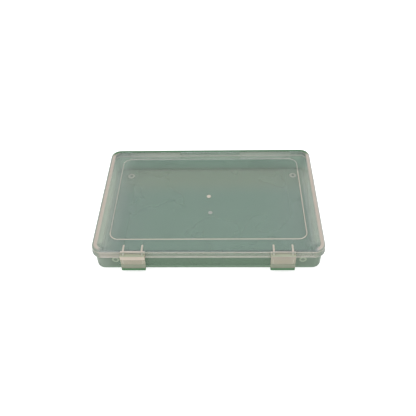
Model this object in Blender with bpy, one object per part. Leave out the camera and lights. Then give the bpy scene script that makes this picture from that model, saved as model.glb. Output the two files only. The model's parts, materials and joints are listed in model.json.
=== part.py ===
"""Craft storage box: a shallow hinged box of translucent plastic with two clip latches.

The tray carries the hinge knuckles, the catch ribs and the feet. The lid drops over the
tray's rim, turns on two wire pins at the back, and carries the latches on ears at the front.

Lengths are in metres and angles in degrees. X runs along the box's width, Y from front to
back and Z up. The origin is at the middle of the box, on the surface that it stands on.
"""

import math

import bmesh
import bpy
from mathutils import Matrix, Vector

# Fits that several pieces share
CLEARANCE = 0.0003          # air left between two pieces that meet
OVERRUN = 0.0005            # how far a cutter runs past what it cuts

# Lid
LID_WIDTH = 0.235
LID_DEPTH = 0.160
LID_TOP = 0.0297            # height of the lid's top face above the surface
LID_WALL = 0.0015
LID_CORNER_RADIUS = 0.011
LID_EDGE_RADIUS = 0.002
SKIRT_HEIGHT = 0.009
SKIRT_DRAFT = 0.00025       # how far the skirt flares out over its height
LIP_REACH = 0.0004
LIP_HEIGHT = 0.001
BEAD_SIDE_INSET = 0.0169
BEAD_FRONT_INSET = 0.0162
BEAD_BACK_INSET = 0.0180
BEAD_CORNER_RADIUS = 0.009
BEAD_RADIUS = 0.0006
BEAD_RISE = 0.0005
LID_GATE_RADIUS = 0.0024
GATE_HEIGHT = 0.0003
GATE_FORWARD = 0.0013       # how far both gate marks lie in front of the middle

# Tray
TRAY_WALL = 0.0018
TRAY_BASE_INSET = 0.0022    # from the lid's outline in to the tray's wall, at the floor
TRAY_STEP_INSET = 0.0019    # the same below the rim's step, so the wall leans out as it rises
TRAY_EDGE_RADIUS = 0.0022
RIM_INSET = 0.0026          # the same at the rim, which is set back inside the skirt
RIM_WALL = 0.0012
RIM_LAP = 0.001             # from the skirt's lower edge up to the rim's step
FOOT_HEIGHT = 0.0006
FOOT_RADIUS = 0.0034
FOOT_DIMPLE_RADIUS = 0.0013
FOOT_DIMPLE_DEPTH = 0.0009
FOOT_SIDE_INSET = 0.0197
FOOT_END_INSET = 0.0142
TRAY_GATE_RADIUS = 0.0017

# Hinges
HINGE_SIDE_INSET = 0.0515   # from the lid's end in to the middle of a hinge
HINGE_WIDTH = 0.060
HINGE_DROP = 0.0007         # from the skirt's lower edge down to the hinge's axis
KNUCKLE_RADIUS = 0.0026
KNUCKLE_GAP = 0.0004
KNUCKLE_COUNT = 5
HINGE_PIN_RADIUS = 0.001
HINGE_PIN_RECESS = 0.001
TRAY_WEB_HEIGHT = 0.008
LID_WEB_HEIGHT = 0.0057

# Latches
LATCH_SIDE_INSET = 0.0425   # from the lid's end in to the middle of a latch
LATCH_WIDTH = 0.0246
LATCH_HEIGHT = 0.0208
PIVOT_DROP = 0.0036         # from the lid's top face down to the latch's pivot
BLOCK_BACK_RADIUS = 0.0021
BLOCK_FRONT = 0.0027        # from the pivot out to the block's front face
BLOCK_BOTTOM = 0.0033       # from the pivot down to the block's underside
BLOCK_EDGE_RADIUS = 0.0008
PLATE_OUT = 0.0023          # from the pivot out to the plate's front face
PLATE_THICKNESS = 0.0015
FLARE_DROP = 0.0104         # from the pivot down to the line where the finger lip begins
ROLL_RADIUS = 0.00125
ROLL_OUT = 0.0029
LATCH_CORNER_RADIUS = 0.0027
PAD_SIDE_INSET = 0.0023
PAD_RISE = 0.0003
PAD_CORNER_RADIUS = 0.0025
LATCH_PIN_RADIUS = 0.0007
LATCH_PIN_RECESS = 0.0005

# Ears on the lid, one pair for each latch
EAR_INSET = 0.0029          # from the latch's end in to the middle of an ear
EAR_THICKNESS = 0.0018
EAR_RADIUS = 0.0017
EAR_NECK = 0.0022
EAR_RIB_LENGTH = 0.009
EAR_RIB_RISE = 0.0006
EAR_RIB_OVERHANG = 0.0004

# Hook on each latch and the catch rib that it holds
HOOK_DROP = 0.0106          # from the pivot down to the hook's upper face
HOOK_SIDE_INSET = 0.0043
HOOK_HEIGHT = 0.0012
HOOK_ROOT_HEIGHT = 0.0028
HOOK_WALL_GAP = 0.0008
CATCH_OVERHANG = 0.001      # how far the rib runs past the hook at each end
CATCH_REACH = 0.0020
CATCH_HEIGHT = 0.0018

# Facets on a round corner, edge, knuckle or wire
CORNER_STEPS = 6
EDGE_STEPS = 3
ROUND_STEPS = 14
CYLINDER_SIDES = 20
BEAD_RESOLUTION = 2
SHARP_ANGLE = 35            # edges that turn by more than this are shaded sharp
WELD_SHARE = 0.01           # points nearer than this share of the clearance become one

# Finishes, with colours as linear red, green and blue
TRAY_FINISH = {"colour": (0.165, 0.300, 0.185), "roughness": 0.35, "metallic": 0, "clearness": 0.6}
CLEAR_FINISH = {"colour": (0.330, 0.400, 0.330), "roughness": 0.22, "metallic": 0, "clearness": 0.9}
STEEL_FINISH = {"colour": (0.560, 0.570, 0.580), "roughness": 0.25, "metallic": 1, "clearness": 0}

# Places that follow from the sizes above
SKIRT_BOTTOM = LID_TOP - SKIRT_HEIGHT
SKIRT_FLARE = SKIRT_DRAFT + LIP_REACH
TRAY_RIM = LID_TOP - LID_WALL - CLEARANCE
RIM_STEP = SKIRT_BOTTOM + RIM_LAP
KNUCKLE_WIDTH = HINGE_WIDTH / KNUCKLE_COUNT - KNUCKLE_GAP
HINGE_OUT = SKIRT_FLARE + CLEARANCE + KNUCKLE_RADIUS
PIVOT_OUT = SKIRT_DRAFT + CLEARANCE + BLOCK_BACK_RADIUS
FRONT_REACH = PIVOT_OUT + ROLL_OUT + ROLL_RADIUS
REAR_REACH = HINGE_OUT + KNUCKLE_RADIUS
BOX_CENTRE = (FRONT_REACH - REAR_REACH) / 2
FRONT = BOX_CENTRE - LID_DEPTH / 2
BACK = BOX_CENTRE + LID_DEPTH / 2
HINGE_AXIS = Vector((0, BACK + HINGE_OUT, SKIRT_BOTTOM - HINGE_DROP))
PIVOT_AXIS = Vector((0, FRONT - PIVOT_OUT, LID_TOP - PIVOT_DROP))
HINGE_BORE_RADIUS = HINGE_PIN_RADIUS + CLEARANCE
LATCH_BORE_RADIUS = LATCH_PIN_RADIUS + CLEARANCE
SIDES = {"left": -1, "right": 1}
HINGE_CENTRES = [side * (LID_WIDTH / 2 - HINGE_SIDE_INSET) for side in SIDES.values()]
LATCH_CENTRES = [side * (LID_WIDTH / 2 - LATCH_SIDE_INSET) for side in SIDES.values()]
EAR_OFFSETS = [side * (LATCH_WIDTH / 2 - EAR_INSET) for side in SIDES.values()]
EAR_CENTRES = [latch + offset for latch in LATCH_CENTRES for offset in EAR_OFFSETS]
HOOK_WIDTH = LATCH_WIDTH - 2 * HOOK_SIDE_INSET
CATCH_WIDTH = HOOK_WIDTH + 2 * CATCH_OVERHANG
PAD_WIDTH = LATCH_WIDTH - 2 * PAD_SIDE_INSET
GATE_PLACE = (0, BOX_CENTRE - GATE_FORWARD)


def arc(centre, radius, start, end, steps):
    """Points along an arc in a plane, from one angle to another, both ends included."""
    angles = [math.radians(start + (end - start) * step / steps) for step in range(steps + 1)]
    return [(centre[0] + radius * math.cos(a), centre[1] + radius * math.sin(a)) for a in angles]


def angle_at(sine):
    """The angle whose sine is given, for where a straight side leaves a round one."""
    return math.degrees(math.asin(sine))


def tangent_angle(point, centre, radius, side):
    """Where the line from a point touches a circle, as an angle around the circle's centre."""
    across, up = point[0] - centre[0], point[1] - centre[1]
    half_angle = math.acos(radius / math.hypot(across, up))
    return math.degrees(math.atan2(up, across) + side * half_angle)


# Collections, materials and objects


def fresh_collection(name):
    """An empty collection linked to the scene."""
    collection = bpy.data.collections.new(name)
    bpy.context.scene.collection.children.link(collection)
    return collection


def give_material(obj, finish):
    """Give an object its own Principled material in one plain finish."""
    material = bpy.data.materials.new(obj.name)
    material.use_nodes = True
    shader = material.node_tree.nodes["Principled BSDF"]
    shader.inputs["Base Color"].default_value = (*finish["colour"], 1)
    shader.inputs["Roughness"].default_value = finish["roughness"]
    shader.inputs["Metallic"].default_value = finish["metallic"]
    shader.inputs["Transmission Weight"].default_value = finish["clearness"]
    obj.data.materials.append(material)


def origin_of(obj):
    """Where an object's origin lies in the model, with nothing in the model turned."""
    point = Vector(obj.location)
    while obj.parent:
        obj = obj.parent
        point += obj.location
    return point


def joint_empty(name, place, parent, collection):
    """An empty on a joint's axis, which carries what turns there."""
    empty = bpy.data.objects.new(name, None)
    empty.empty_display_size = KNUCKLE_RADIUS
    empty.parent = parent
    empty.location = place - (origin_of(parent) if parent else Vector())
    collection.objects.link(empty)
    return empty


def add_object(name, shape, parent, collection):
    """Make an object from a shape drawn in the model's frame, with its parent's origin."""
    if parent:
        bmesh.ops.translate(shape, verts=shape.verts, vec=-origin_of(parent))
    mesh = bpy.data.meshes.new(name)
    shape.to_mesh(mesh)
    shape.free()
    mesh.shade_smooth()
    mesh.set_sharp_from_angle(angle=math.radians(SHARP_ANGLE))
    obj = bpy.data.objects.new(name, mesh)
    obj.parent = parent
    collection.objects.link(obj)
    return obj


def combine(body, name, shape, operation):
    """Join a shape to a body or cut it away, with a Boolean that stays live."""
    tool = add_object(name, shape, body, CUTTERS)
    tool.hide_render = True
    tool.display_type = "WIRE"
    modifier = body.modifiers.new(name, "BOOLEAN")
    modifier.operation = operation
    modifier.solver = "EXACT"
    modifier.object = tool


def join(body, name, shape):
    combine(body, name, shape, "UNION")


def cut(body, name, shape):
    combine(body, name, shape, "DIFFERENCE")


# Shapes


def rounded_section(inset, height):
    """The box's rounded outline at one height, set in from the lid's outline."""
    radius = max(LID_CORNER_RADIUS - inset, OVERRUN)
    half_width = LID_WIDTH / 2 - inset - radius
    half_depth = LID_DEPTH / 2 - inset - radius
    points = []
    for across, along, start in ((1, 1, 0), (-1, 1, 90), (-1, -1, 180), (1, -1, 270)):
        centre = (across * half_width, BOX_CENTRE + along * half_depth)
        points += [(x, y, height) for x, y in arc(centre, radius, start, start + 90, CORNER_STEPS)]
    return points


def shell(profile):
    """Loft a wall profile around the box's outline and close it with its two flat faces."""
    shape = bmesh.new()
    rings = [[shape.verts.new(p) for p in rounded_section(inset, z)] for inset, z in profile]
    for lower, upper in zip(rings, rings[1:]):
        for i in range(len(lower)):
            shape.faces.new((lower[i - 1], lower[i], upper[i], upper[i - 1]))
    shape.faces.new(rings[0])
    shape.faces.new(rings[-1])
    bmesh.ops.recalc_face_normals(shape, faces=shape.faces)
    return shape


def extrude(shape, outline, along):
    """Add a body to the shape by drawing a flat outline out along a vector."""
    face = shape.faces.new([shape.verts.new(point) for point in outline])
    drawn = bmesh.ops.extrude_face_region(shape, geom=[face], use_keep_orig=True)
    moved = [item for item in drawn["geom"] if isinstance(item, bmesh.types.BMVert)]
    bmesh.ops.translate(shape, verts=moved, vec=along)
    bmesh.ops.recalc_face_normals(shape, faces=shape.faces)


def side_prisms(outline, centres, width):
    """Bodies with one outline in the YZ plane, each centred on its own X."""
    shape = bmesh.new()
    for centre in centres:
        extrude(shape, [(centre - width / 2, y, z) for y, z in outline], Vector((width, 0, 0)))
    return shape


def front_prisms(outline, centres, near, far):
    """Bodies with one outline in the XZ plane, each centred on its own X, between two Ys."""
    shape = bmesh.new()
    for centre in centres:
        extrude(shape, [(centre + x, near, z) for x, z in outline], Vector((0, far - near, 0)))
    return shape


def cross_rods(axis, centres, radius, length):
    """Rods that lie along X on an axis, each centred on its own X."""
    shape = bmesh.new()
    turn = Matrix.Rotation(math.radians(90), 4, "Y")
    for centre in centres:
        place = Matrix.Translation((centre, axis.y, axis.z))
        bmesh.ops.create_cone(
            shape, cap_ends=True, segments=CYLINDER_SIDES, radius1=radius, radius2=radius,
            depth=length, matrix=place @ turn,
        )
    return shape


def discs(places, radius, bottom, top):
    """Upright round discs between two heights, one at each place."""
    shape = bmesh.new()
    for x, y in places:
        bmesh.ops.create_cone(
            shape, cap_ends=True, segments=CYLINDER_SIDES, radius1=radius, radius2=radius,
            depth=top - bottom, matrix=Matrix.Translation((x, y, (top + bottom) / 2)),
        )
    return shape


def outward(points):
    """Turn (out, up) points, measured from a latch's pivot, into (y, z) points."""
    return [(PIVOT_AXIS.y - out, PIVOT_AXIS.z + up) for out, up in points]


# Tray


def tray_inset(height):
    """How far the tray's leaning wall stands in from the lid's outline, below the step."""
    rise_share = (height - FOOT_HEIGHT) / (RIM_STEP - FOOT_HEIGHT)
    return TRAY_BASE_INSET + (TRAY_STEP_INSET - TRAY_BASE_INSET) * rise_share


def tray_profile():
    """The tray's wall as (inset, height) points, from its underside to its floor."""
    floor = FOOT_HEIGHT + TRAY_WALL
    inner_radius = max(TRAY_EDGE_RADIUS - TRAY_WALL, OVERRUN)
    outer = arc(
        (TRAY_BASE_INSET + TRAY_EDGE_RADIUS, FOOT_HEIGHT + TRAY_EDGE_RADIUS),
        TRAY_EDGE_RADIUS, 270, 180, EDGE_STEPS,
    )
    inner = arc(
        (TRAY_BASE_INSET + TRAY_WALL + inner_radius, floor + inner_radius),
        inner_radius, 180, 270, EDGE_STEPS,
    )
    step = [(TRAY_STEP_INSET, RIM_STEP), (RIM_INSET, RIM_STEP + RIM_INSET - TRAY_STEP_INSET)]
    rim = [(RIM_INSET, TRAY_RIM), (RIM_INSET + RIM_WALL, TRAY_RIM)]
    return outer + step + rim + inner


def knuckle_centres(first):
    """The X of every second knuckle on both hinges, starting with the given one."""
    pitch = HINGE_WIDTH / KNUCKLE_COUNT
    start = -(HINGE_WIDTH - pitch) / 2
    steps = range(first, KNUCKLE_COUNT, 2)
    return [hinge + start + step * pitch for hinge in HINGE_CENTRES for step in steps]


def tray_knuckle_outline():
    """A tray knuckle: a round eye on a web that comes out of the wall below the skirt."""
    axis = (HINGE_AXIS.y, HINGE_AXIS.z)
    low = HINGE_AXIS.z - TRAY_WEB_HEIGHT
    upper_root = (BACK - tray_inset(HINGE_AXIS.z) - TRAY_WALL / 2, HINGE_AXIS.z)
    lower_root = (BACK - tray_inset(low) - TRAY_WALL / 2, low)
    end = tangent_angle(lower_root, axis, KNUCKLE_RADIUS, 1)
    return [lower_root, upper_root] + arc(axis, KNUCKLE_RADIUS, 180, end, ROUND_STEPS)


def catch_outline():
    """A catch rib on the tray's front wall, flat below for the hook and sloped above."""
    low = PIVOT_AXIS.z - HOOK_DROP + CLEARANCE
    high = low + CATCH_HEIGHT
    wall = FRONT + tray_inset(low)
    root = wall + TRAY_WALL / 2
    tip = wall - CATCH_REACH
    return [(root, low), (tip, low), (tip, low + CATCH_HEIGHT / 2), (wall, high), (root, high)]


def make_tray():
    """The tray, with its feet, gate mark, hinge knuckles and catch ribs."""
    tray = add_object("tray", shell(tray_profile()), None, PARTS)
    foot_x = LID_WIDTH / 2 - FOOT_SIDE_INSET
    foot_y = LID_DEPTH / 2 - FOOT_END_INSET
    feet = [(x * foot_x, BOX_CENTRE + y * foot_y) for x in (-1, 1) for y in (-1, 1)]
    floor_middle = FOOT_HEIGHT + TRAY_WALL / 2

    join(tray, "feet", discs(feet, FOOT_RADIUS, 0, floor_middle))
    cut(tray, "foot_dimples", discs(feet, FOOT_DIMPLE_RADIUS, -OVERRUN, FOOT_DIMPLE_DEPTH))
    gate_bottom = FOOT_HEIGHT - GATE_HEIGHT
    join(tray, "tray_gate", discs([GATE_PLACE], TRAY_GATE_RADIUS, gate_bottom, floor_middle))
    join(tray, "catch_ribs", side_prisms(catch_outline(), LATCH_CENTRES, CATCH_WIDTH))
    knuckles = side_prisms(tray_knuckle_outline(), knuckle_centres(0), KNUCKLE_WIDTH)
    join(tray, "tray_knuckles", knuckles)
    bores = cross_rods(HINGE_AXIS, HINGE_CENTRES, HINGE_BORE_RADIUS, HINGE_WIDTH + 2 * OVERRUN)
    cut(tray, "tray_bores", bores)
    return tray


# Lid


def lid_profile():
    """The lid's wall as (inset, height) points, from its top face to its ceiling."""
    ceiling = LID_TOP - LID_WALL
    lip_top = SKIRT_BOTTOM + LIP_HEIGHT
    inner_radius = max(LID_EDGE_RADIUS - LID_WALL, OVERRUN)
    outer = arc(
        (LID_EDGE_RADIUS, LID_TOP - LID_EDGE_RADIUS), LID_EDGE_RADIUS, 90, 180, EDGE_STEPS
    )
    lip = [
        (-SKIRT_DRAFT, lip_top),
        (-SKIRT_FLARE, lip_top - LIP_REACH),
        (-SKIRT_FLARE, SKIRT_BOTTOM),
        (LID_WALL - SKIRT_DRAFT, SKIRT_BOTTOM),
    ]
    inner = arc(
        (LID_WALL + inner_radius, ceiling - inner_radius), inner_radius, 180, 90, EDGE_STEPS
    )
    return outer + lip + inner


def bead_shape():
    """The raised bead on the lid: a wire bent round a rounded rectangle, then made a mesh."""
    radius = BEAD_CORNER_RADIUS
    right = LID_WIDTH / 2 - BEAD_SIDE_INSET - radius
    back = BACK - BEAD_BACK_INSET - radius
    front = FRONT + BEAD_FRONT_INSET + radius
    path = []
    for x, y, start in ((right, back, 0), (-right, back, 90), (-right, front, 180), (right, front, 270)):
        path += arc((x, y), radius, start, start + 90, CORNER_STEPS)

    curve = bpy.data.curves.new("bead", "CURVE")
    curve.dimensions = "3D"
    curve.bevel_depth = BEAD_RADIUS
    curve.bevel_resolution = BEAD_RESOLUTION
    spline = curve.splines.new("POLY")
    spline.points.add(len(path) - 1)
    height = LID_TOP + BEAD_RISE - BEAD_RADIUS
    for point, (x, y) in zip(spline.points, path):
        point.co = (x, y, height, 1)
    spline.use_cyclic_u = True

    wire = bpy.data.objects.new("bead_wire", curve)
    CUTTERS.objects.link(wire)
    graph = bpy.context.evaluated_depsgraph_get()
    mesh = bpy.data.meshes.new_from_object(wire.evaluated_get(graph))
    bpy.data.objects.remove(wire)
    shape = bmesh.new()
    shape.from_mesh(mesh)
    bpy.data.meshes.remove(mesh)
    bmesh.ops.remove_doubles(shape, verts=shape.verts, dist=WELD_SHARE * CLEARANCE)
    bmesh.ops.recalc_face_normals(shape, faces=shape.faces)
    return shape


def lid_knuckle_outline():
    """A lid knuckle: a round eye on a web that comes down the back of the skirt."""
    axis = (HINGE_AXIS.y, HINGE_AXIS.z)
    root = BACK - LID_WALL / 2
    upper_root = (root, HINGE_AXIS.z + LID_WEB_HEIGHT)
    lower_root = (root, SKIRT_BOTTOM + LIP_HEIGHT / 2)
    start = tangent_angle(upper_root, axis, KNUCKLE_RADIUS, -1)
    return [lower_root, upper_root] + arc(axis, KNUCKLE_RADIUS, start, -180, ROUND_STEPS)


def ear_outline():
    """An ear: a neck out of the skirt with a round eye for the latch's pin."""
    half_neck = EAR_NECK / 2
    leave = angle_at(half_neck / EAR_RADIUS)
    root = -(PIVOT_OUT + LID_WALL / 2)
    eye = arc((0, 0), EAR_RADIUS, 180 - leave, leave - 180, ROUND_STEPS)
    return outward([(root, -half_neck), (root, half_neck)] + eye)


def ear_rib_outline():
    """A rib on the lid above an ear, tapered at the back and wrapped over the front edge."""
    back = FRONT + EAR_RIB_LENGTH
    front = FRONT - EAR_RIB_OVERHANG
    top = LID_TOP + EAR_RIB_RISE
    buried = LID_TOP - LID_WALL / 2
    nose_radius = EAR_RIB_RISE + EAR_RIB_OVERHANG
    nose = arc((front + nose_radius, top - nose_radius), nose_radius, 90, 180, EDGE_STEPS)
    return [(back, buried), (back, LID_TOP), (back - 2 * EAR_RIB_RISE, top)] + nose + [
        (FRONT + LID_WALL / 2, buried)
    ]


def make_lid(hinge):
    """The lid, with its bead, gate mark, hinge knuckles and the ears for the latches."""
    lid = add_object("lid", shell(lid_profile()), hinge, PARTS)
    plate_middle = LID_TOP - LID_WALL / 2

    join(lid, "lid_bead", bead_shape())
    gate = discs([GATE_PLACE], LID_GATE_RADIUS, plate_middle, LID_TOP + GATE_HEIGHT)
    join(lid, "lid_gate", gate)
    join(lid, "ear_ribs", side_prisms(ear_rib_outline(), EAR_CENTRES, EAR_THICKNESS))
    join(lid, "ears", side_prisms(ear_outline(), EAR_CENTRES, EAR_THICKNESS))
    knuckles = side_prisms(lid_knuckle_outline(), knuckle_centres(1), KNUCKLE_WIDTH)
    join(lid, "lid_knuckles", knuckles)
    hinge_bores = cross_rods(HINGE_AXIS, HINGE_CENTRES, HINGE_BORE_RADIUS, HINGE_WIDTH)
    cut(lid, "lid_hinge_bores", hinge_bores)
    ear_bores = cross_rods(PIVOT_AXIS, LATCH_CENTRES, LATCH_BORE_RADIUS, LATCH_WIDTH)
    cut(lid, "ear_bores", ear_bores)
    return lid


# Latches


def latch_outline():
    """A latch from the side: pivot block, plate, flared finger lip with a rolled edge, hook."""
    inner = PLATE_OUT - PLATE_THICKNESS
    wall = -(PIVOT_OUT + tray_inset(PIVOT_AXIS.z - HOOK_DROP))
    nose = wall + HOOK_WALL_GAP
    roll_drop = -(LATCH_HEIGHT - BLOCK_BACK_RADIUS - ROLL_RADIUS)
    roll = (ROLL_OUT, roll_drop)
    flare = (PLATE_OUT, -FLARE_DROP)
    hook_root = -HOOK_DROP - HOOK_ROOT_HEIGHT
    flare_touch = tangent_angle(flare, roll, ROLL_RADIUS, -1)
    inner_touch = tangent_angle((inner, hook_root), roll, ROLL_RADIUS, 1) - 360
    edge = BLOCK_EDGE_RADIUS
    corner = (BLOCK_FRONT - edge, BLOCK_BACK_RADIUS - edge)
    points = arc((0, 0), BLOCK_BACK_RADIUS, 180, 90, EDGE_STEPS + 2)
    points += arc(corner, edge, 90, 0, EDGE_STEPS)
    points += [(BLOCK_FRONT, -BLOCK_BOTTOM + BLOCK_FRONT - PLATE_OUT), (PLATE_OUT, -BLOCK_BOTTOM), flare]
    points += arc(roll, ROLL_RADIUS, flare_touch, inner_touch, ROUND_STEPS // 2)
    points += [
        (inner, hook_root),
        (nose, -HOOK_DROP - HOOK_HEIGHT),
        (nose, -HOOK_DROP),
        (inner, -HOOK_DROP),
        (inner, -BLOCK_BOTTOM),
        (-BLOCK_BACK_RADIUS, -BLOCK_BOTTOM),
    ]
    return outward(points)


def slot_outline():
    """The room that an ear needs in the block as the latch turns from shut to open."""
    half_neck = EAR_NECK / 2 + CLEARANCE
    radius = EAR_RADIUS + CLEARANCE
    leave = angle_at(half_neck / radius)
    past = BLOCK_BACK_RADIUS + OVERRUN
    points = arc((0, 0), radius, -180 + leave, 90 - leave, ROUND_STEPS)
    return outward(points + [(half_neck, past), (-past, past), (-past, -half_neck)])


def latch_front():
    """A latch from the front, with its lower corners rounded."""
    half = LATCH_WIDTH / 2
    radius = LATCH_CORNER_RADIUS
    top = PIVOT_AXIS.z + BLOCK_BACK_RADIUS + OVERRUN
    low = PIVOT_AXIS.z + BLOCK_BACK_RADIUS - LATCH_HEIGHT - OVERRUN
    right = arc((half - radius, low + radius), radius, 0, -90, EDGE_STEPS + 1)
    left = [(-x, z) for x, z in reversed(right)]
    return [(-half, top), (half, top)] + right + left


def pad_front():
    """The raised pad on a latch's face, square above and rounded below."""
    half = PAD_WIDTH / 2
    radius = PAD_CORNER_RADIUS
    top = PIVOT_AXIS.z - BLOCK_BOTTOM / 2
    low = PIVOT_AXIS.z - FLARE_DROP
    right = arc((half - radius, low + radius), radius, 0, -90, EDGE_STEPS + 1)
    left = [(-x, z) for x, z in reversed(right)]
    return [(-half, top), (half, top)] + right + left


def make_latch(side, centre, pivot):
    """A latch: a moulded clip that hooks under the tray's catch rib."""
    ears = [centre + offset for offset in EAR_OFFSETS]
    body = side_prisms(latch_outline(), [centre], LATCH_WIDTH + 2 * OVERRUN)
    latch = add_object("latch_" + side, body, pivot, PARTS)
    ahead = PIVOT_AXIS.y - ROLL_OUT - ROLL_RADIUS - OVERRUN
    behind = FRONT + TRAY_BASE_INSET + OVERRUN
    combine(latch, side + "_outline", front_prisms(latch_front(), [centre], ahead, behind), "INTERSECT")
    beside_x = (LATCH_WIDTH + HOOK_WIDTH) / 4 + OVERRUN / 2
    beside_width = (LATCH_WIDTH - HOOK_WIDTH) / 2 + OVERRUN
    beside_outline = outward(hook_clearing())
    beside = side_prisms(beside_outline, [centre - beside_x, centre + beside_x], beside_width)
    cut(latch, side + "_hook_ends", beside)
    pad_face = PIVOT_AXIS.y - PLATE_OUT - PAD_RISE
    pad_root = PIVOT_AXIS.y - PLATE_OUT + PLATE_THICKNESS / 2
    join(latch, side + "_pad", front_prisms(pad_front(), [centre], pad_face, pad_root))
    cut(latch, side + "_slots", side_prisms(slot_outline(), ears, EAR_THICKNESS + 2 * CLEARANCE))
    bore = cross_rods(PIVOT_AXIS, [centre], LATCH_BORE_RADIUS, LATCH_WIDTH + 2 * OVERRUN)
    cut(latch, side + "_bore", bore)
    return latch


def hook_clearing():
    """What is cut away behind the plate on both sides of the hook, as (out, up) points."""
    inner = PLATE_OUT - PLATE_THICKNESS
    far = -(PIVOT_OUT + TRAY_BASE_INSET + OVERRUN)
    top = -HOOK_DROP + OVERRUN
    low = -HOOK_DROP - HOOK_ROOT_HEIGHT
    return [(inner, low), (far, low), (far, top), (inner, top)]


# Pins


def make_pin(name, axis, centre, radius, length, parent):
    """A straight wire pin along a joint's axis."""
    pin = add_object(name, cross_rods(axis, [centre], radius, length), parent, PARTS)
    give_material(pin, STEEL_FINISH)


for old in list(bpy.data.objects):
    bpy.data.objects.remove(old)
PARTS = fresh_collection("craft_storage_box")
CUTTERS = fresh_collection("cutters")

give_material(make_tray(), TRAY_FINISH)
lid_hinge = joint_empty("lid_hinge", HINGE_AXIS, None, PARTS)
give_material(make_lid(lid_hinge), CLEAR_FINISH)
hinge_pin_length = HINGE_WIDTH - 2 * HINGE_PIN_RECESS
latch_pin_length = LATCH_WIDTH - 2 * LATCH_PIN_RECESS
for side_name, hinge_x, latch_x in zip(SIDES, HINGE_CENTRES, LATCH_CENTRES):
    hinge_pin = "hinge_pin_" + side_name
    make_pin(hinge_pin, HINGE_AXIS, hinge_x, HINGE_PIN_RADIUS, hinge_pin_length, None)

    pivot_place = PIVOT_AXIS + Vector((latch_x, 0, 0))
    latch_pivot = joint_empty("latch_pivot_" + side_name, pivot_place, lid_hinge, PARTS)
    give_material(make_latch(side_name, latch_x, latch_pivot), CLEAR_FINISH)
    latch_pin = "latch_pin_" + side_name
    make_pin(latch_pin, PIVOT_AXIS, latch_x, LATCH_PIN_RADIUS, latch_pin_length, lid_hinge)
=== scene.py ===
"""Looks of the craft storage box: a green tray, a clear lid, two clip latches and wire pins.

The script is laid out as an add-on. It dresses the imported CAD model, so lengths are in
metres in the model's own frame: X along the box, Y from front to back and Z up.
"""

import json
import math

import bmesh
import bpy
from mathutils import Matrix, Vector

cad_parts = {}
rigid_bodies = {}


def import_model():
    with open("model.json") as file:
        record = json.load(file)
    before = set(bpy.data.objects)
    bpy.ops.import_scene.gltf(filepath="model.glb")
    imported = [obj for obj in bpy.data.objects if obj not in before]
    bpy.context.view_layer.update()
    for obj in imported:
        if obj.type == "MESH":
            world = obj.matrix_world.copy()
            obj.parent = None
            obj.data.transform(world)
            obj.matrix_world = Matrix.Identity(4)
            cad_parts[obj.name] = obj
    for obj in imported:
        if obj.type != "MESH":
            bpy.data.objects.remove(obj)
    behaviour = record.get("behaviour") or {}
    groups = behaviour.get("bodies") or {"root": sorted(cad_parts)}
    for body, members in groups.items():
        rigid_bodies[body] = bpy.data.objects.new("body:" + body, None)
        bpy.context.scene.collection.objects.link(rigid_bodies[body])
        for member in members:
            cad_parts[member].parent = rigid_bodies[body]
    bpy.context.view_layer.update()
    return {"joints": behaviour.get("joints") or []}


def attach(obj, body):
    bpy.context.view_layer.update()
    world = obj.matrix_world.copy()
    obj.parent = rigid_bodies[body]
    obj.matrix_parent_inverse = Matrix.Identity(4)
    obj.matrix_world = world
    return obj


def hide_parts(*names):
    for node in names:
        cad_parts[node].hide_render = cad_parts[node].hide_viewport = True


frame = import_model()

bl_info = {
    "name": "Craft storage box",
    "version": (1, 0, 0),
    "blender": (4, 5, 0),
    "location": "3D View > Sidebar > Craft box",
    "description": "Makes a hinged craft storage box of translucent plastic around its CAD model",
    "category": "Add Mesh",
}

JOINTS = {joint["name"]: Vector(joint["pos_m"]) for joint in frame["joints"]}
HINGE_AXIS = JOINTS["lid_hinge"]
PIVOTS = {"left": JOINTS["latch_left_pivot"], "right": JOINTS["latch_right_pivot"]}
PIVOT_AXIS = Vector((0, PIVOTS["right"].y, PIVOTS["right"].z))
LATCH_PITCH = PIVOTS["right"].x - PIVOTS["left"].x

CORNER_STEPS = 16
EDGE_STEPS = 6
ROUND_STEPS = 36
BEAD_SIDES = 16
SHARP_ANGLE = math.radians(32)
WELD = 1e-7


def length(name, about, metres):
    """A length that a user can change."""
    return bpy.props.FloatProperty(
        name=name, description=about, default=metres, min=0, unit="LENGTH", precision=5
    )


def colour(name, about, linear):
    """A colour that a user can change, as linear red, green and blue."""
    return bpy.props.FloatVectorProperty(
        name=name, description=about, default=linear, min=0, max=1, size=3, subtype="COLOR"
    )


def share(name, about, value):
    """A share from 0 to 1 that a user can change."""
    return bpy.props.FloatProperty(
        name=name, description=about, default=value, min=0, max=1, subtype="FACTOR"
    )


def angle(name, about, degrees):
    """An angle that a user can change."""
    return bpy.props.FloatProperty(
        name=name, description=about, default=math.radians(degrees), subtype="ANGLE"
    )


class BoxSizes(bpy.types.PropertyGroup):
    """Sizes that the tray and the lid share"""

    width: length("Width", "Of the lid's outline", 0.235)
    depth: length("Depth", "Of the lid's outline", 0.160)
    middle: length("Middle", "How far the lid's middle lies behind the origin", 0.000325)
    corner: length("Corner radius", "Of the lid's outline", 0.011)
    gap: length("Gap", "Air between two pieces that meet", 0.0003)
    softening: length("Softening", "Radius on the edges of webs, ribs and ears", 0.00018)


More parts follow.
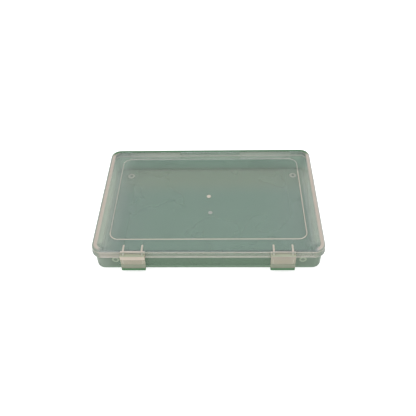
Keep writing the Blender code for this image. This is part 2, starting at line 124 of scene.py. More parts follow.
class TraySizes(bpy.types.PropertyGroup):
    """Sizes of the tray"""

    wall: length("Wall", "Thickness of floor and walls", 0.0018)
    foot_height: length("Foot height", "From the surface up to the tray's underside", 0.0006)
    base_inset: length("Base inset", "From the lid's outline in to the wall at the floor", 0.0022)
    step_inset: length("Step inset", "The same just below the rim's step", 0.0019)
    rim_inset: length("Rim inset", "The same at the rim", 0.0026)
    rim_wall: length("Rim wall", "Thickness of the rim", 0.0012)
    rim_top: length("Rim top", "Height of the rim's top edge", 0.0279)
    step_height: length("Step height", "Height at which the rim steps in", 0.0217)
    edge: length("Edge radius", "Round between the underside and the walls", 0.0022)
    floor_round: length("Floor round", "Round between the floor and the walls", 0.0009)
    foot_radius: length("Foot radius", "Of each round foot", 0.0034)
    dimple_radius: length("Dimple radius", "Of the hollow in each foot", 0.0013)
    dimple_depth: length("Dimple depth", "Of the hollow in each foot", 0.0009)
    seen_height: length("Seen foot", "Height at which the front wall shows a foot", 0.0146)
    seen_side: length("Seen foot, side", "How far nearer the middle it shows there", 0.0029)
    seen_back: length("Seen foot, back", "How far in front of a back foot the floor shows it", 0.0020)
    seen_across: length("Seen across", "How far to the right the marks of the floor show", 0.0009)
    foot_side: length("Foot inset, side", "From the lid's end in to a foot", 0.0197)
    foot_end: length("Foot inset, front", "From the lid's front in to a foot", 0.0142)
    gate_radius: length("Gate radius", "Of the moulding mark under the floor", 0.0017)
    gate_height: length("Gate height", "Of the moulding mark", 0.0003)
    gate_forward: length("Gate place", "How far the marks lie in front of the middle", 0.0013)
    gate_seen: length("Seen gate", "How far behind the middle the floor shows its mark", 0.0009)
    lip_seen: length("Seen lip", "How far above the step the back wall shows the lid's lip", 0.0017)


class LidSizes(bpy.types.PropertyGroup):
    """Sizes of the lid"""

    top: length("Top", "Height of the lid's panel above the surface", 0.0297)
    wall: length("Wall", "Thickness of panel and skirt", 0.0015)
    edge: length("Edge radius", "Round between the panel and the skirt", 0.002)
    skirt: length("Skirt height", "From the panel down to the skirt's lower edge", 0.009)
    draft: length("Skirt draft", "How far the skirt flares out over its height", 0.00025)
    lip_reach: length("Lip reach", "How far the lip stands out from the skirt", 0.0004)
    lip_height: length("Lip height", "Of the lip along the skirt's lower edge", 0.001)
    bead_side: length("Bead inset, side", "From the lid's end in to the bead", 0.0169)
    bead_front: length("Bead inset, front", "From the lid's front in to the bead", 0.0162)
    bead_back: length("Bead inset, back", "From the lid's back in to the bead", 0.0180)
    bead_corner: length("Bead corner", "Radius of the bead's corners", 0.009)
    bead_radius: length("Bead radius", "Of the bead's own round section", 0.0006)
    bead_rise: length("Bead rise", "How far the bead stands above the panel", 0.0005)
    gate_radius: length("Gate radius", "Of the moulding mark on the panel", 0.0024)


class HingeSizes(bpy.types.PropertyGroup):
    """Sizes of the two hinges"""

    inset: length("Inset", "From the lid's end in to the middle of a hinge", 0.0515)
    width: length("Width", "Of one hinge", 0.060)
    knuckles: bpy.props.IntProperty(
        name="Knuckles", description="Of the tray and the lid together, on one hinge", default=5
    )
    radius: length("Knuckle radius", "Of each round eye", 0.0026)
    gap: length("Knuckle gap", "Air between two knuckles", 0.0004)
    pin_radius: length("Pin radius", "Of the wire in a hinge", 0.001)
    pin_recess: length("Pin recess", "How far a pin's end lies inside the last knuckle", 0.001)
    tray_web: length("Tray web", "From the axis down to where a tray knuckle's web ends", 0.008)
    lid_web: length("Lid web", "From the axis up to where a lid knuckle's web ends", 0.0057)


class LatchSizes(bpy.types.PropertyGroup):
    """Sizes of the latches and of the lid's ears that carry them"""

    width: length("Width", "Of a latch", 0.0246)
    height: length("Height", "Of a latch", 0.0208)
    back: length("Back radius", "Round of the block behind the pivot", 0.0021)
    front: length("Block front", "From the pivot out to the block's face", 0.0027)
    block: length("Block bottom", "From the pivot down to the block's underside", 0.0033)
    edge: length("Block edge", "Round of the block's upper front edge", 0.0008)
    face: length("Face", "From the pivot out to the plate's face", 0.0023)
    plate: length("Plate", "Thickness of the plate", 0.0015)
    flare: length("Flare drop", "From the pivot down to where the finger lip begins", 0.0104)
    roll: length("Roll radius", "Of the finger lip's rounded edge", 0.00125)
    roll_out: length("Roll out", "From the pivot out to the middle of the roll", 0.0029)
    corner: length("Corner", "Radius of the latch's lower corners", 0.0027)
    pad_inset: length("Pad inset", "From the latch's side in to the pad", 0.0023)
    pad_rise: length("Pad rise", "How far the pad stands out from the plate", 0.0003)
    pad_corner: length("Pad corner", "Radius of the pad's lower corners", 0.0025)
    pin_radius: length("Pin radius", "Of the wire in a latch", 0.0007)
    pin_recess: length("Pin recess", "How far a pin's end lies inside the latch", 0.0005)
    ear_inset: length("Ear inset", "From the latch's side in to the middle of an ear", 0.0029)
    ear: length("Ear thickness", "Of each ear and of the rib above it", 0.0018)
    ear_radius: length("Ear radius", "Of an ear's round eye", 0.0017)
    ear_neck: length("Ear neck", "Height of the web that carries an ear", 0.0022)
    rib: length("Rib length", "Of the rib on the panel above an ear", 0.009)
    rib_rise: length("Rib rise", "How far that rib stands above the panel", 0.0006)
    rib_over: length("Rib overhang", "How far that rib wraps over the front edge", 0.0004)
    hook_drop: length("Hook drop", "From the pivot down to the hook's upper face", 0.0106)
    hook_side: length("Hook inset", "From the latch's side in to the hook", 0.0043)
    hook: length("Hook height", "Of the hook's nose", 0.0012)
    hook_root: length("Hook root", "Height of the hook where it leaves the plate", 0.0028)
    hook_gap: length("Hook gap", "Between the hook's nose and the tray's wall", 0.0008)
    catch_over: length("Catch overhang", "How far the catch rib runs past the hook", 0.001)
    catch_reach: length("Catch reach", "How far the catch rib stands out", 0.0020)
    catch_height: length("Catch height", "Of the catch rib", 0.0018)


class Plastics(bpy.types.PropertyGroup):
    """Colours and clearness of the finishes, some of them painted light and shade"""

    tray: colour("Tray", "Body colour of the green plastic", (0.200, 0.285, 0.210))
    tray_tint: colour("Tray tint", "Colour of light that passes the tray", (0.57, 0.70, 0.59))
    tray_haze: share("Tray haze", "Share of light that one face of the tray scatters", 0.4)
    through: share("Through", "Share of the scattered light that goes on through a face", 0.3)
    # partly the plastic's own milk, partly a painted reflection of the white surroundings
    clear: colour("Clear", "Milk of the clear plastic in a flat sheet", (0.46, 0.48, 0.54))
    skirt: colour("Skirt", "Milk of the clear plastic in an upright wall", (0.39, 0.45, 0.33))
    # painted shade: the dark green of the lid's rounded ends stands in for the shaded tray seen through
    # them
    outline: colour("Outline", "Milk of the lid's rounded ends", (0.26, 0.32, 0.24))
    # partly the milk of walls behind each other, partly painted light on the left end of the tray's
    # front and of the lid
    frost_and_light: colour("Frost", "Milk where two or three walls lie behind each other", (0.54, 0.58, 0.53))
    # partly the milk of walls and knuckles seen through, partly painted light that comes in through the
    # walls
    mist_and_light: colour("Mist", "Milk of the tray's own walls, seen from the inside", (0.68, 0.73, 0.61))
    pad: colour("Pad", "Milk of the clear plastic in the latches", (0.57, 0.52, 0.40))
    clear_tint: colour("Clear tint", "Colour of light that passes the lid", (0.92, 0.945, 0.96))
    clear_haze: share("Clear haze", "Share of light that one face of the lid scatters", 0.04)
    pad_haze: share("Pad haze", "Share of light that one face of a latch scatters", 0.5)
    # painted highlight: the left latch's block face is painted paler than the right one's
    left_block_highlight: share("Left latch", "The same for the face of the left latch's block", 0.9)
    right_block_highlight: share("Right latch", "The same for the face of the right latch's block", 0.45)
    edge: colour("Lit edge", "Colour of edges that light runs along", (0.68, 0.59, 0.50))
    # partly the thick edge's own green, partly painted shade for the shaded tray seen through it
    deep: colour("Deep edge", "Colour of thick edges that pass the tray's green", (0.066, 0.155, 0.078))
    # painted shade: the tray's inner back wall faces away from the lamps and is painted darker
    shade: colour("Back wall", "Colour of the tray's inner back wall", (0.080, 0.200, 0.100))
    mark: colour("Floor marks", "Colour of the ring marks in the floor", (0.86, 0.78, 0.66))
    steel: colour("Steel", "Colour of the wire pins", (0.56, 0.57, 0.58))


class StageSizes(bpy.types.PropertyGroup):
    """Camera, lamps and floor"""

    camera: bpy.props.FloatVectorProperty(
        name="Camera", description="Where the camera stands",
        default=(0.0169304, -0.4278245, 0.4375127), unit="LENGTH", precision=5,
    )
    tilt: angle("Tilt", "How far the camera looks down", 44.8921)
    turn: angle("Turn", "How far the camera is turned to the left", 2.4601)
    roll: angle("Roll", "How far the camera is rolled", 1.9816)
    lens: bpy.props.FloatProperty(
        name="Lens", description="Focal length on a sensor 36 mm wide, in millimetres",
        default=46.731,
    )
    floor: length("Floor", "Width of the floor", 4.0)
    floor_shade: share("Floor shade", "Grey of the floor's paint", 0.82)
    floor_glow: share("Floor glow", "Light that the eye sees the floor give by itself", 0.60)
    daylight: share("Daylight", "Strength of the light from all around", 0.74)


class BoxSettings(bpy.types.PropertyGroup):
    """All sizes and finishes of the craft storage box"""

    box: bpy.props.PointerProperty(type=BoxSizes)
    tray: bpy.props.PointerProperty(type=TraySizes)
    lid: bpy.props.PointerProperty(type=LidSizes)
    hinge: bpy.props.PointerProperty(type=HingeSizes)
    latch: bpy.props.PointerProperty(type=LatchSizes)
    plastics: bpy.props.PointerProperty(type=Plastics)
    stage: bpy.props.PointerProperty(type=StageSizes)


def settings():
    """The scene's own sizes and finishes."""
    return bpy.context.scene.craft_box


# Node trees


class Value:
    """A node's output. Arithmetic on values adds the Math nodes that work it out."""

    def __init__(self, graph, socket):
        self.graph = graph
        self.socket = socket

    def math(self, operation, *others):
        """A Math node on this value and others."""
        values = dict(enumerate((self, *others)))
        return self.graph.node("ShaderNodeMath", {"operation": operation}, values)

    def reflected(self, operation, other):
        """The same with the other value first."""
        return self.graph.node("ShaderNodeMath", {"operation": operation}, {0: other, 1: self})

    def __add__(self, other):
        return self.math("ADD", other)

    def __sub__(self, other):
        return self.math("SUBTRACT", other)

    def __mul__(self, other):
        return self.math("MULTIPLY", other)

    def __pow__(self, other):
        return self.math("POWER", other)

    def __rsub__(self, other):
        return self.reflected("SUBTRACT", other)

    def __rpow__(self, other):
        return self.reflected("POWER", other)

    def __abs__(self):
        return self.math("ABSOLUTE")

    __radd__ = __add__
    __rmul__ = __mul__

    def above(self, edge, soft):
        """1 where the value is past an edge and 0 before it, with a soft step between."""
        return self.step(edge - soft, edge + soft)

    def below(self, edge, soft):
        """1 where the value is before an edge and 0 past it."""
        return self.step(edge + soft, edge - soft)

    def between(self, low, high, soft):
        """1 between two edges and 0 beside them."""
        return self.above(low, soft) * self.below(high, soft)

    def step(self, start, end):
        """A smooth step from 0 where the value is at the start to 1 at the end."""
        ranges = {"From Min": start, "From Max": end, "Value": self}
        return self.graph.node("ShaderNodeMapRange", {"interpolation_type": "SMOOTHSTEP"}, ranges)


class Graph:
    """A node tree that is built from expressions."""

    def __init__(self, tree):
        self.tree = tree

    def node(self, kind, how=None, values=None, output=0):
        """Add a node with its settings and with values or links for its sockets."""
        node = self.tree.nodes.new(kind)
        for key, value in (how or {}).items():
            setattr(node, key, value)
        for key, value in (values or {}).items():
            if isinstance(value, Value):
                self.tree.links.new(value.socket, node.inputs[key])
            else:
                node.inputs[key].default_value = value
        return Value(self, node.outputs[output])

    def split(self, vector):
        """The three parts of a vector."""
        first = self.node("ShaderNodeSeparateXYZ", None, {"Vector": vector})
        return [Value(self, socket) for socket in first.socket.node.outputs]

    def blend(self, factor, start, end):
        """A colour between two colours."""
        how = {"data_type": "RGBA"}
        return self.node("ShaderNodeMix", how, {"Factor": factor, 6: start, 7: end}, 2)


def geometry_tree(name, inputs):
    """A Geometry Nodes tree with named inputs, as its graph and its inputs by name."""
    tree = bpy.data.node_groups.new(name, "GeometryNodeTree")
    for label, kind in {"Geometry": "Geometry", **inputs, "Material": "Material"}.items():
        tree.interface.new_socket(label, in_out="INPUT", socket_type="NodeSocket" + kind)
    tree.interface.new_socket("Geometry", in_out="OUTPUT", socket_type="NodeSocketGeometry")
    graph = Graph(tree)
    source = tree.nodes.new("NodeGroupInput")
    given = {socket.name: Value(graph, socket) for socket in source.outputs if socket.name}
    return graph, given


def close_tree(graph, geometry, material):
    """End a tree with real meshes of one material."""
    real = graph.node("GeometryNodeRealizeInstances", None, {0: geometry})
    dressed = graph.node("GeometryNodeSetMaterial", None, {"Geometry": real, "Material": material})
    out = graph.tree.nodes.new("NodeGroupOutput")
    graph.tree.links.new(dressed.socket, out.inputs[0])
    return graph.tree


def outline_curve(graph, given):
    """The nodes of a rounded rectangle, as a closed curve round its centre."""
    sizes = {"Width": given["Width"], "Height": given["Depth"]}
    corners = {"Radius": given["Corner Radius"], "Count": given["Corner Steps"]}
    sharp = graph.node("GeometryNodeCurvePrimitiveQuadrilateral", None, sizes)
    curve = graph.node("GeometryNodeFilletCurve", {"mode": "POLY"}, {"Curve": sharp, **corners})
    return graph.node(
        "GeometryNodeTransform", None, {"Geometry": curve, "Translation": given["Centre"]}
    )


OUTLINE_INPUTS = {
    "Width": "Float", "Depth": "Float", "Corner Radius": "Float", "Corner Steps": "Int",
    "Centre": "Vector",
}


def shell_tree():
    """Sweep a wall's profile round a rounded rectangle."""
    graph, given = geometry_tree("moulded_shell", OUTLINE_INPUTS)
    outline = outline_curve(graph, given)
    profile = graph.node("GeometryNodeMeshToCurve", None, {"Mesh": given["Geometry"]})
    band = graph.node("GeometryNodeCurveToMesh", None, {"Curve": outline, "Profile Curve": profile})
    return close_tree(graph, band, given["Material"])


def bead_tree():
    """A round bead laid along a rounded rectangle."""
    inputs = {**OUTLINE_INPUTS, "Bead Radius": "Float", "Bead Sides": "Int"}
    graph, given = geometry_tree("panel_bead", inputs)
    section = graph.node(
        "GeometryNodeCurvePrimitiveCircle", {"mode": "RADIUS"},
        {"Resolution": given["Bead Sides"], "Radius": given["Bead Radius"]},
    )
    parts = {"Curve": outline_curve(graph, given), "Profile Curve": section}
    bead = graph.node("GeometryNodeCurveToMesh", None, parts)
    return close_tree(graph, bead, given["Material"])


def rows_tree():
    """Copies of the object's own mesh in rows: so many along X in each of so many groups."""
    inputs = {
        "Groups": "Int", "Group Start": "Vector", "Group Pitch": "Vector",
        "Copies": "Int", "Copy Start": "Vector", "Copy Pitch": "Vector",
    }
    graph, given = geometry_tree("moulded_rows", inputs)
    lines = []
    for kind, count in (("Group", "Groups"), ("Copy", "Copies")):
        sizes = {
            "Count": given[count], "Start Location": given[kind + " Start"],
            "Offset": given[kind + " Pitch"],
        }
        lines.append(graph.node("GeometryNodeMeshLine", {"mode": "OFFSET"}, sizes))
    rows = graph.node("GeometryNodeInstanceOnPoints", None, {"Points": lines[0], "Instance": lines[1]})
    points = graph.node("GeometryNodeRealizeInstances", None, {0: rows})
    copies = graph.node(
        "GeometryNodeInstanceOnPoints", None, {"Points": points, "Instance": given["Geometry"]}
    )
    return close_tree(graph, copies, given["Material"])


# Shapes


def arc(centre, radius, start, end, steps):
    """Points along an arc in a plane, from one angle to another, both ends included."""
    angles = [math.radians(start + (end - start) * step / steps) for step in range(steps + 1)]
    return [(centre[0] + radius * math.cos(a), centre[1] + radius * math.sin(a)) for a in angles]


def angle_at(sine):
    """The angle whose sine is given, for where a straight side leaves a round one."""
    return math.degrees(math.asin(sine))


def tangent_angle(point, centre, radius, side):
    """Where the line from a point touches a circle, as an angle around the circle's centre."""
    across, up = point[0] - centre[0], point[1] - centre[1]
    half_angle = math.acos(radius / math.hypot(across, up))
    return math.degrees(math.atan2(up, across) + side * half_angle)


def new_object(name, data):
    """An object for a mesh, a lamp or a camera, linked to the scene."""
    obj = bpy.data.objects.new(name, data)
    bpy.context.scene.collection.objects.link(obj)
    return obj


def mesh_of(shape, name):
    """Turn a bmesh into a mesh and free it."""
    mesh = bpy.data.meshes.new(name)
    shape.to_mesh(mesh)
    shape.free()
    return mesh


def shape_of(mesh):
    """Turn a mesh into a bmesh, with doubled points joined, and remove it."""
    shape = bmesh.new()
    shape.from_mesh(mesh)
    bpy.data.meshes.remove(mesh)
    bmesh.ops.remove_doubles(shape, verts=shape.verts, dist=WELD)
    return shape


def chain(points):
    """A chain of edges through points."""
    shape = bmesh.new()
    verts = [shape.verts.new(point) for point in points]
    for pair in zip(verts, verts[1:]):
        shape.edges.new(pair)
    return shape


def evaluated_mesh(obj):
    """The object's mesh with its modifiers worked in. The object itself is removed."""
    graph = bpy.context.evaluated_depsgraph_get()
    mesh = bpy.data.meshes.new_from_object(obj.evaluated_get(graph))
    bpy.data.objects.remove(obj)
    return mesh


def grow(name, mesh, tree, values):
    """Run a Geometry Nodes tree on a mesh, with its inputs by name, and return the shape."""
    obj = new_object(name, mesh)
    modifier = obj.modifiers.new(name, "NODES")
    modifier.node_group = tree
    for item in tree.interface.items_tree:
        if item.in_out == "INPUT" and item.name in values:
            modifier[item.identifier] = values[item.name]
    shape = shape_of(evaluated_mesh(obj))
    bmesh.ops.recalc_face_normals(shape, faces=shape.faces)
    return shape


def drawn_out(points, way):
    """A closed body from one flat outline, drawn out along a vector."""
    shape = bmesh.new()
    face = shape.faces.new([shape.verts.new(point) for point in points])
    drawn = bmesh.ops.extrude_face_region(shape, geom=[face], use_keep_orig=True)
    far = [item for item in drawn["geom"] if isinstance(item, bmesh.types.BMVert)]
    bmesh.ops.translate(shape, verts=far, vec=way)
    bmesh.ops.recalc_face_normals(shape, faces=shape.faces)
    return shape


def prism(outline, width, soft):
    """A body with one outline in the YZ plane, centred on X, with softened end edges."""
    shape = drawn_out([(-width / 2, y, z) for y, z in outline], (width, 0, 0))
    if soft:
        ends = [e for e in shape.edges if e.verts[0].co.x == e.verts[1].co.x]
        bmesh.ops.bevel(
            shape, geom=ends, offset=soft, offset_type="OFFSET", segments=2, profile=0.5,
            affect="EDGES", clamp_overlap=True,
        )
    return shape


def front_prism(outline, near, far):
    """A body with one outline in the XZ plane between two Ys."""
    return drawn_out([(x, near, z) for x, z in outline], (0, far - near, 0))


def spun(points, centre, axis):
    """A closed body turned round an axis from a chain of points."""
    shape = chain(points)
    bmesh.ops.spin(
        shape, geom=shape.verts[:] + shape.edges[:], cent=centre, axis=axis, angle=math.tau,
        steps=ROUND_STEPS, use_merge=True,
    )
    bmesh.ops.remove_doubles(shape, verts=shape.verts, dist=WELD)
    bmesh.ops.recalc_face_normals(shape, faces=shape.faces)
    return shape


def rod(axis, radius, width, chamfer=0):
    """A round bar along X on an axis, with chamfered ends if asked."""
    half = width / 2
    outline = [(-half, 0), (-half, radius - chamfer)]
    if chamfer:
        outline += [(-half + chamfer, radius), (half - chamfer, radius)]
    outline += [(half, radius - chamfer), (half, 0)]
    points = [(x, axis.y + out, axis.z) for x, out in outline]
    return spun(points, (0, axis.y, axis.z), (1, 0, 0))


def turned(outline):
    """A body turned round the Z axis from a (radius, height) outline."""
    return spun([(radius, 0, z) for radius, z in outline], (0, 0, 0), (0, 0, 1))


def disc(radius, bottom, top):
    """An upright disc between two heights, with a softened rim at both ends."""
    soft = settings().box.softening
    return turned([
        (0, bottom), (radius - soft, bottom), (radius, bottom + soft),
        (radius, top - soft), (radius - soft, top), (0, top),
    ])


def moved(shape, place):
    """The same shape, moved."""
    bmesh.ops.translate(shape, verts=shape.verts, vec=place)
    return shape


def combined(name, shape, steps):
    """A shape with others joined to it, cut from it or met with it, as one mesh."""
    body = new_object(name, mesh_of(shape, name))
    tools = []
    for operation, other in steps:
        tool = new_object(name + "_tool", mesh_of(other, name + "_tool"))
        tools.append(tool)
        modifier = body.modifiers.new(operation, "BOOLEAN")
        modifier.operation = operation
        modifier.solver = "EXACT"
        modifier.object = tool
    result = evaluated_mesh(body)
    for tool in tools:
        bpy.data.objects.remove(tool)
    return result


def finish_piece(name, mesh, material, body, node):
    """Clean a mesh, shade it, and make it the shown piece for a CAD node."""
    shape = shape_of(mesh)
    bmesh.ops.dissolve_degenerate(shape, edges=shape.edges, dist=WELD)
    holes = [edge for edge in shape.edges if not edge.is_manifold]
    if holes:
        raise RuntimeError(f"{name} has {len(holes)} open edges")
    clean = mesh_of(shape, name)
    clean.materials.clear()
    clean.materials.append(material)
    clean.shade_smooth()
    clean.set_sharp_from_angle(angle=SHARP_ANGLE)
    rough = new_object(name + "_rough", clean)
    weights = rough.modifiers.new("face_weights", "WEIGHTED_NORMAL")
    weights.keep_sharp = True
    weights.weight = 100
    piece = new_object(name, evaluated_mesh(rough))
    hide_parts(node)
    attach(piece, body)


ONE = (1, (0, 0, 0), (0, 0, 0))


def pair_of(pitch):
    """A row of two along X, one on each side of the middle."""
    return 2, (-pitch / 2, 0, 0), (pitch, 0, 0)


def in_rows(tree, name, shape, groups, copies=ONE):
    """Copies of a shape in rows. A row is its count, its first place and its step."""
    values = {
        "Groups": groups[0], "Group Start": groups[1], "Group Pitch": groups[2],
        "Copies": copies[0], "Copy Start": copies[1], "Copy Pitch": copies[2],
    }
    return grow(name, mesh_of(shape, name), tree, values)


def swept_shell(name, profile):
    """A moulded shell from its wall's (inset, height) profile, closed with two flat faces."""
    box = settings().box
    values = {
        "Width": box.width, "Depth": box.depth, "Corner Radius": box.corner,
        "Corner Steps": CORNER_STEPS, "Centre": (0, box.middle, 0),
    }
    turned_round = chain([(-inset, -height, 0) for inset, height in profile])
    shape = grow(name, mesh_of(turned_round, name), shell_tree(), values)
    bmesh.ops.edgeloop_fill(shape, edges=[edge for edge in shape.edges if edge.is_boundary])
    bmesh.ops.recalc_face_normals(shape, faces=shape.faces)
    return shape


# Tray


def tray_inset(height):
    """How far the tray's leaning wall stands in from the lid's outline, below the step."""
    tray = settings().tray
    rise = (height - tray.foot_height) / (tray.step_height - tray.foot_height)
    return tray.base_inset + (tray.step_inset - tray.base_inset) * rise


def tray_profile():
    """The tray's wall, from its underside round the rim to its floor."""
    tray = settings().tray
    floor = tray.foot_height + tray.wall
    rim_round = tray.rim_wall / 3
    outer_corner = (tray.base_inset + tray.edge, tray.foot_height + tray.edge)
    inner_corner = (tray.base_inset + tray.wall + tray.floor_round, floor + tray.floor_round)
    set_back = tray.rim_inset - tray.step_inset
    points = arc(outer_corner, tray.edge, 270, 180, EDGE_STEPS)
    points += [(tray.step_inset, tray.step_height), (tray.rim_inset, tray.step_height + set_back)]
    near = (tray.rim_inset + rim_round, tray.rim_top - rim_round)
    far = (tray.rim_inset + tray.rim_wall - rim_round, tray.rim_top - rim_round)
    points += arc(near, rim_round, 180, 90, EDGE_STEPS // 2)
    points += arc(far, rim_round, 90, 0, EDGE_STEPS // 2)
    points += arc(inner_corner, tray.floor_round, 180, 270, EDGE_STEPS)
    return points


def knuckle_rows(tree, name, outline, first):
    """Every second knuckle on both hinges, starting with the given one."""
    box, hinge = settings().box, settings().hinge
    step = hinge.width / hinge.knuckles
    spread = box.width - 2 * hinge.inset
    start = first * step - (hinge.width - step) / 2
    shape = prism(outline, step - hinge.gap, box.softening)
    copies = (len(range(first, hinge.knuckles, 2)), (start, 0, 0), (2 * step, 0, 0))
    return in_rows(tree, name, shape, pair_of(spread), copies)


def hinge_bores(tree):
    """Bars along both hinges, to bore the knuckles with."""
    box, hinge = settings().box, settings().hinge
    bar = rod(HINGE_AXIS, hinge.pin_radius + box.gap, hinge.width + hinge.pin_recess)
    return in_rows(tree, "hinge_bores", bar, pair_of(box.width - 2 * hinge.inset))


def tray_knuckle_outline():
    """A tray knuckle: a round eye on a web that comes out of the wall below the skirt."""
    box, tray, hinge = settings().box, settings().tray, settings().hinge
    back = box.middle + box.depth / 2
    axis = (HINGE_AXIS.y, HINGE_AXIS.z)
    low = HINGE_AXIS.z - hinge.tray_web
    upper_root = (back - tray_inset(HINGE_AXIS.z) - tray.wall / 2, HINGE_AXIS.z)
    lower_root = (back - tray_inset(low) - tray.wall / 2, low)
    end = tangent_angle(lower_root, axis, hinge.radius, 1)
    return [lower_root, upper_root] + arc(axis, hinge.radius, 180, end, ROUND_STEPS)


def catch_outline():
    """A catch rib on the tray's front wall, flat below for the hook and sloped above."""
    box, tray, latch = settings().box, settings().tray, settings().latch
    low = PIVOT_AXIS.z - latch.hook_drop + box.gap
    high = low + latch.catch_height
    wall = box.middle - box.depth / 2 + tray_inset(low)
    root = wall + tray.wall / 2
    tip = wall - latch.catch_reach
    middle = low + latch.catch_height / 2
    return [(root, low), (tip, low), (tip, middle), (wall, high), (root, high)]


def at_feet(tree, name, shape):
    """A shape under each of the tray's four corners."""
    box, tray = settings().box, settings().tray
    along = box.depth - 2 * tray.foot_end
    groups = (2, (0, box.middle - along / 2, 0), (0, along, 0))
    return in_rows(tree, name, shape, groups, pair_of(box.width - 2 * tray.foot_side))


def dimple():
    """What is hollowed out of the underside within a foot."""
    tray, soft = settings().tray, settings().box.softening
    return turned([
        (0, -soft), (tray.dimple_radius + soft, -soft), (tray.dimple_radius, soft),
        (tray.dimple_radius - 2 * soft, tray.dimple_depth), (0, tray.dimple_depth),
    ])


class CRAFTBOX_OT_tray(bpy.types.Operator):
    """Make the tray with its rim, feet, hinge knuckles and catch ribs"""

    bl_idname = "craft_box.tray"
    bl_label = "Tray"

    def execute(self, context):
        box, tray, latch = settings().box, settings().tray, settings().latch
        tree = rows_tree()
        inside = tray.foot_height + tray.wall / 2
        gate = moved(
            disc(tray.gate_radius, tray.foot_height - tray.gate_height, inside),
            (0, box.middle - tray.gate_forward, 0),
        )
        catch_width = latch.width - 2 * latch.hook_side + 2 * latch.catch_over
        catch = prism(catch_outline(), catch_width, box.softening)
        mesh = combined("tray", swept_shell("tray", tray_profile()), [
            ("UNION", at_feet(tree, "feet", disc(tray.foot_radius, 0, inside))),
            ("DIFFERENCE", at_feet(tree, "dimples", dimple())),
            ("UNION", gate),
            ("UNION", in_rows(tree, "catch_ribs", catch, pair_of(LATCH_PITCH))),
            ("UNION", knuckle_rows(tree, "tray_knuckles", tray_knuckle_outline(), 0)),
            ("DIFFERENCE", hinge_bores(tree)),
        ])
        finish_piece("tray_moulding", mesh, tray_material(), "tray_body", "tray")
        return {"FINISHED"}


# Lid


def lid_profile():
    """The lid's wall, from its panel's top face down the skirt to its ceiling."""
    lid = settings().lid
    bottom = lid.top - lid.skirt
    ceiling = lid.top - lid.wall
    lip_top = bottom + lid.lip_height
    flare = lid.draft + lid.lip_reach
    soft = lid.lip_reach / 2
    inner_radius = lid.edge - lid.wall
    outer = arc((lid.edge, lid.top - lid.edge), lid.edge, 90, 180, EDGE_STEPS)
    lip = [(-lid.draft, lip_top)]
    lip += arc((-flare + soft, lip_top - lid.lip_reach + soft / 2), soft, 135, 180, 2)
    lip += arc((-flare + soft, bottom + soft), soft, 180, 270, 3)
    lip += arc((lid.wall - lid.draft - soft, bottom + soft), soft, 270, 360, 3)
    inner = arc((lid.wall + inner_radius, ceiling - inner_radius), inner_radius, 180, 90, EDGE_STEPS)
    return outer + lip + inner


def bead_shape():
    """The raised bead round the lid's panel."""
    box, lid = settings().box, settings().lid
    values = {
        "Width": box.width - 2 * lid.bead_side,
        "Depth": box.depth - lid.bead_front - lid.bead_back,
        "Corner Radius": lid.bead_corner, "Corner Steps": CORNER_STEPS,
        "Centre": (
            0, box.middle + (lid.bead_front - lid.bead_back) / 2,
            lid.top + lid.bead_rise - lid.bead_radius,
        ),
        "Bead Radius": lid.bead_radius, "Bead Sides": BEAD_SIDES,
    }
    return grow("bead", bpy.data.meshes.new("bead"), bead_tree(), values)


def lid_knuckle_outline():
    """A lid knuckle: a round eye on a web that comes down the back of the skirt."""
    box, lid, hinge = settings().box, settings().lid, settings().hinge
    axis = (HINGE_AXIS.y, HINGE_AXIS.z)
    root = box.middle + box.depth / 2 - lid.wall / 2
    upper_root = (root, HINGE_AXIS.z + hinge.lid_web)
    lower_root = (root, lid.top - lid.skirt + lid.lip_height / 2)
    start = tangent_angle(upper_root, axis, hinge.radius, -1)
    return [lower_root, upper_root] + arc(axis, hinge.radius, start, -180, ROUND_STEPS)


def outward(points):
    """Turn (out, up) points, measured from a latch's pivot, into (y, z) points."""
    return [(PIVOT_AXIS.y - out, PIVOT_AXIS.z + up) for out, up in points]


def ear_outline():
    """An ear: a neck out of the skirt with a round eye for the latch's pin."""
    box, lid, latch = settings().box, settings().lid, settings().latch
    half_neck = latch.ear_neck / 2
    leave = angle_at(half_neck / latch.ear_radius)
    front = box.middle - box.depth / 2
    root = -(front - PIVOT_AXIS.y + lid.wall / 2)
    eye = arc((0, 0), latch.ear_radius, 180 - leave, leave - 180, ROUND_STEPS)
    return outward([(root, -half_neck), (root, half_neck)] + eye)


def ear_rib_outline():
    """A rib on the lid above an ear, tapered at the back and wrapped over the front edge."""
    box, lid, latch = settings().box, settings().lid, settings().latch
    front = box.middle - box.depth / 2
    back = front + latch.rib
    nose_front = front - latch.rib_over
    top = lid.top + latch.rib_rise
    buried = lid.top - lid.wall / 2
    nose_radius = latch.rib_rise + latch.rib_over
    nose = arc((nose_front + nose_radius, top - nose_radius), nose_radius, 90, 180, EDGE_STEPS)
    slope = [(back, buried), (back, lid.top), (back - 2 * latch.rib_rise, top)]
    return slope + nose + [(front + lid.wall / 2, buried)]


def ear_rows(tree, name, outline):
    """One shape above or at each of the four ears."""
    box, latch = settings().box, settings().latch
    shape = prism(outline, latch.ear, box.softening)
    ears = pair_of(latch.width - 2 * latch.ear_inset)
    return in_rows(tree, name, shape, pair_of(LATCH_PITCH), ears)


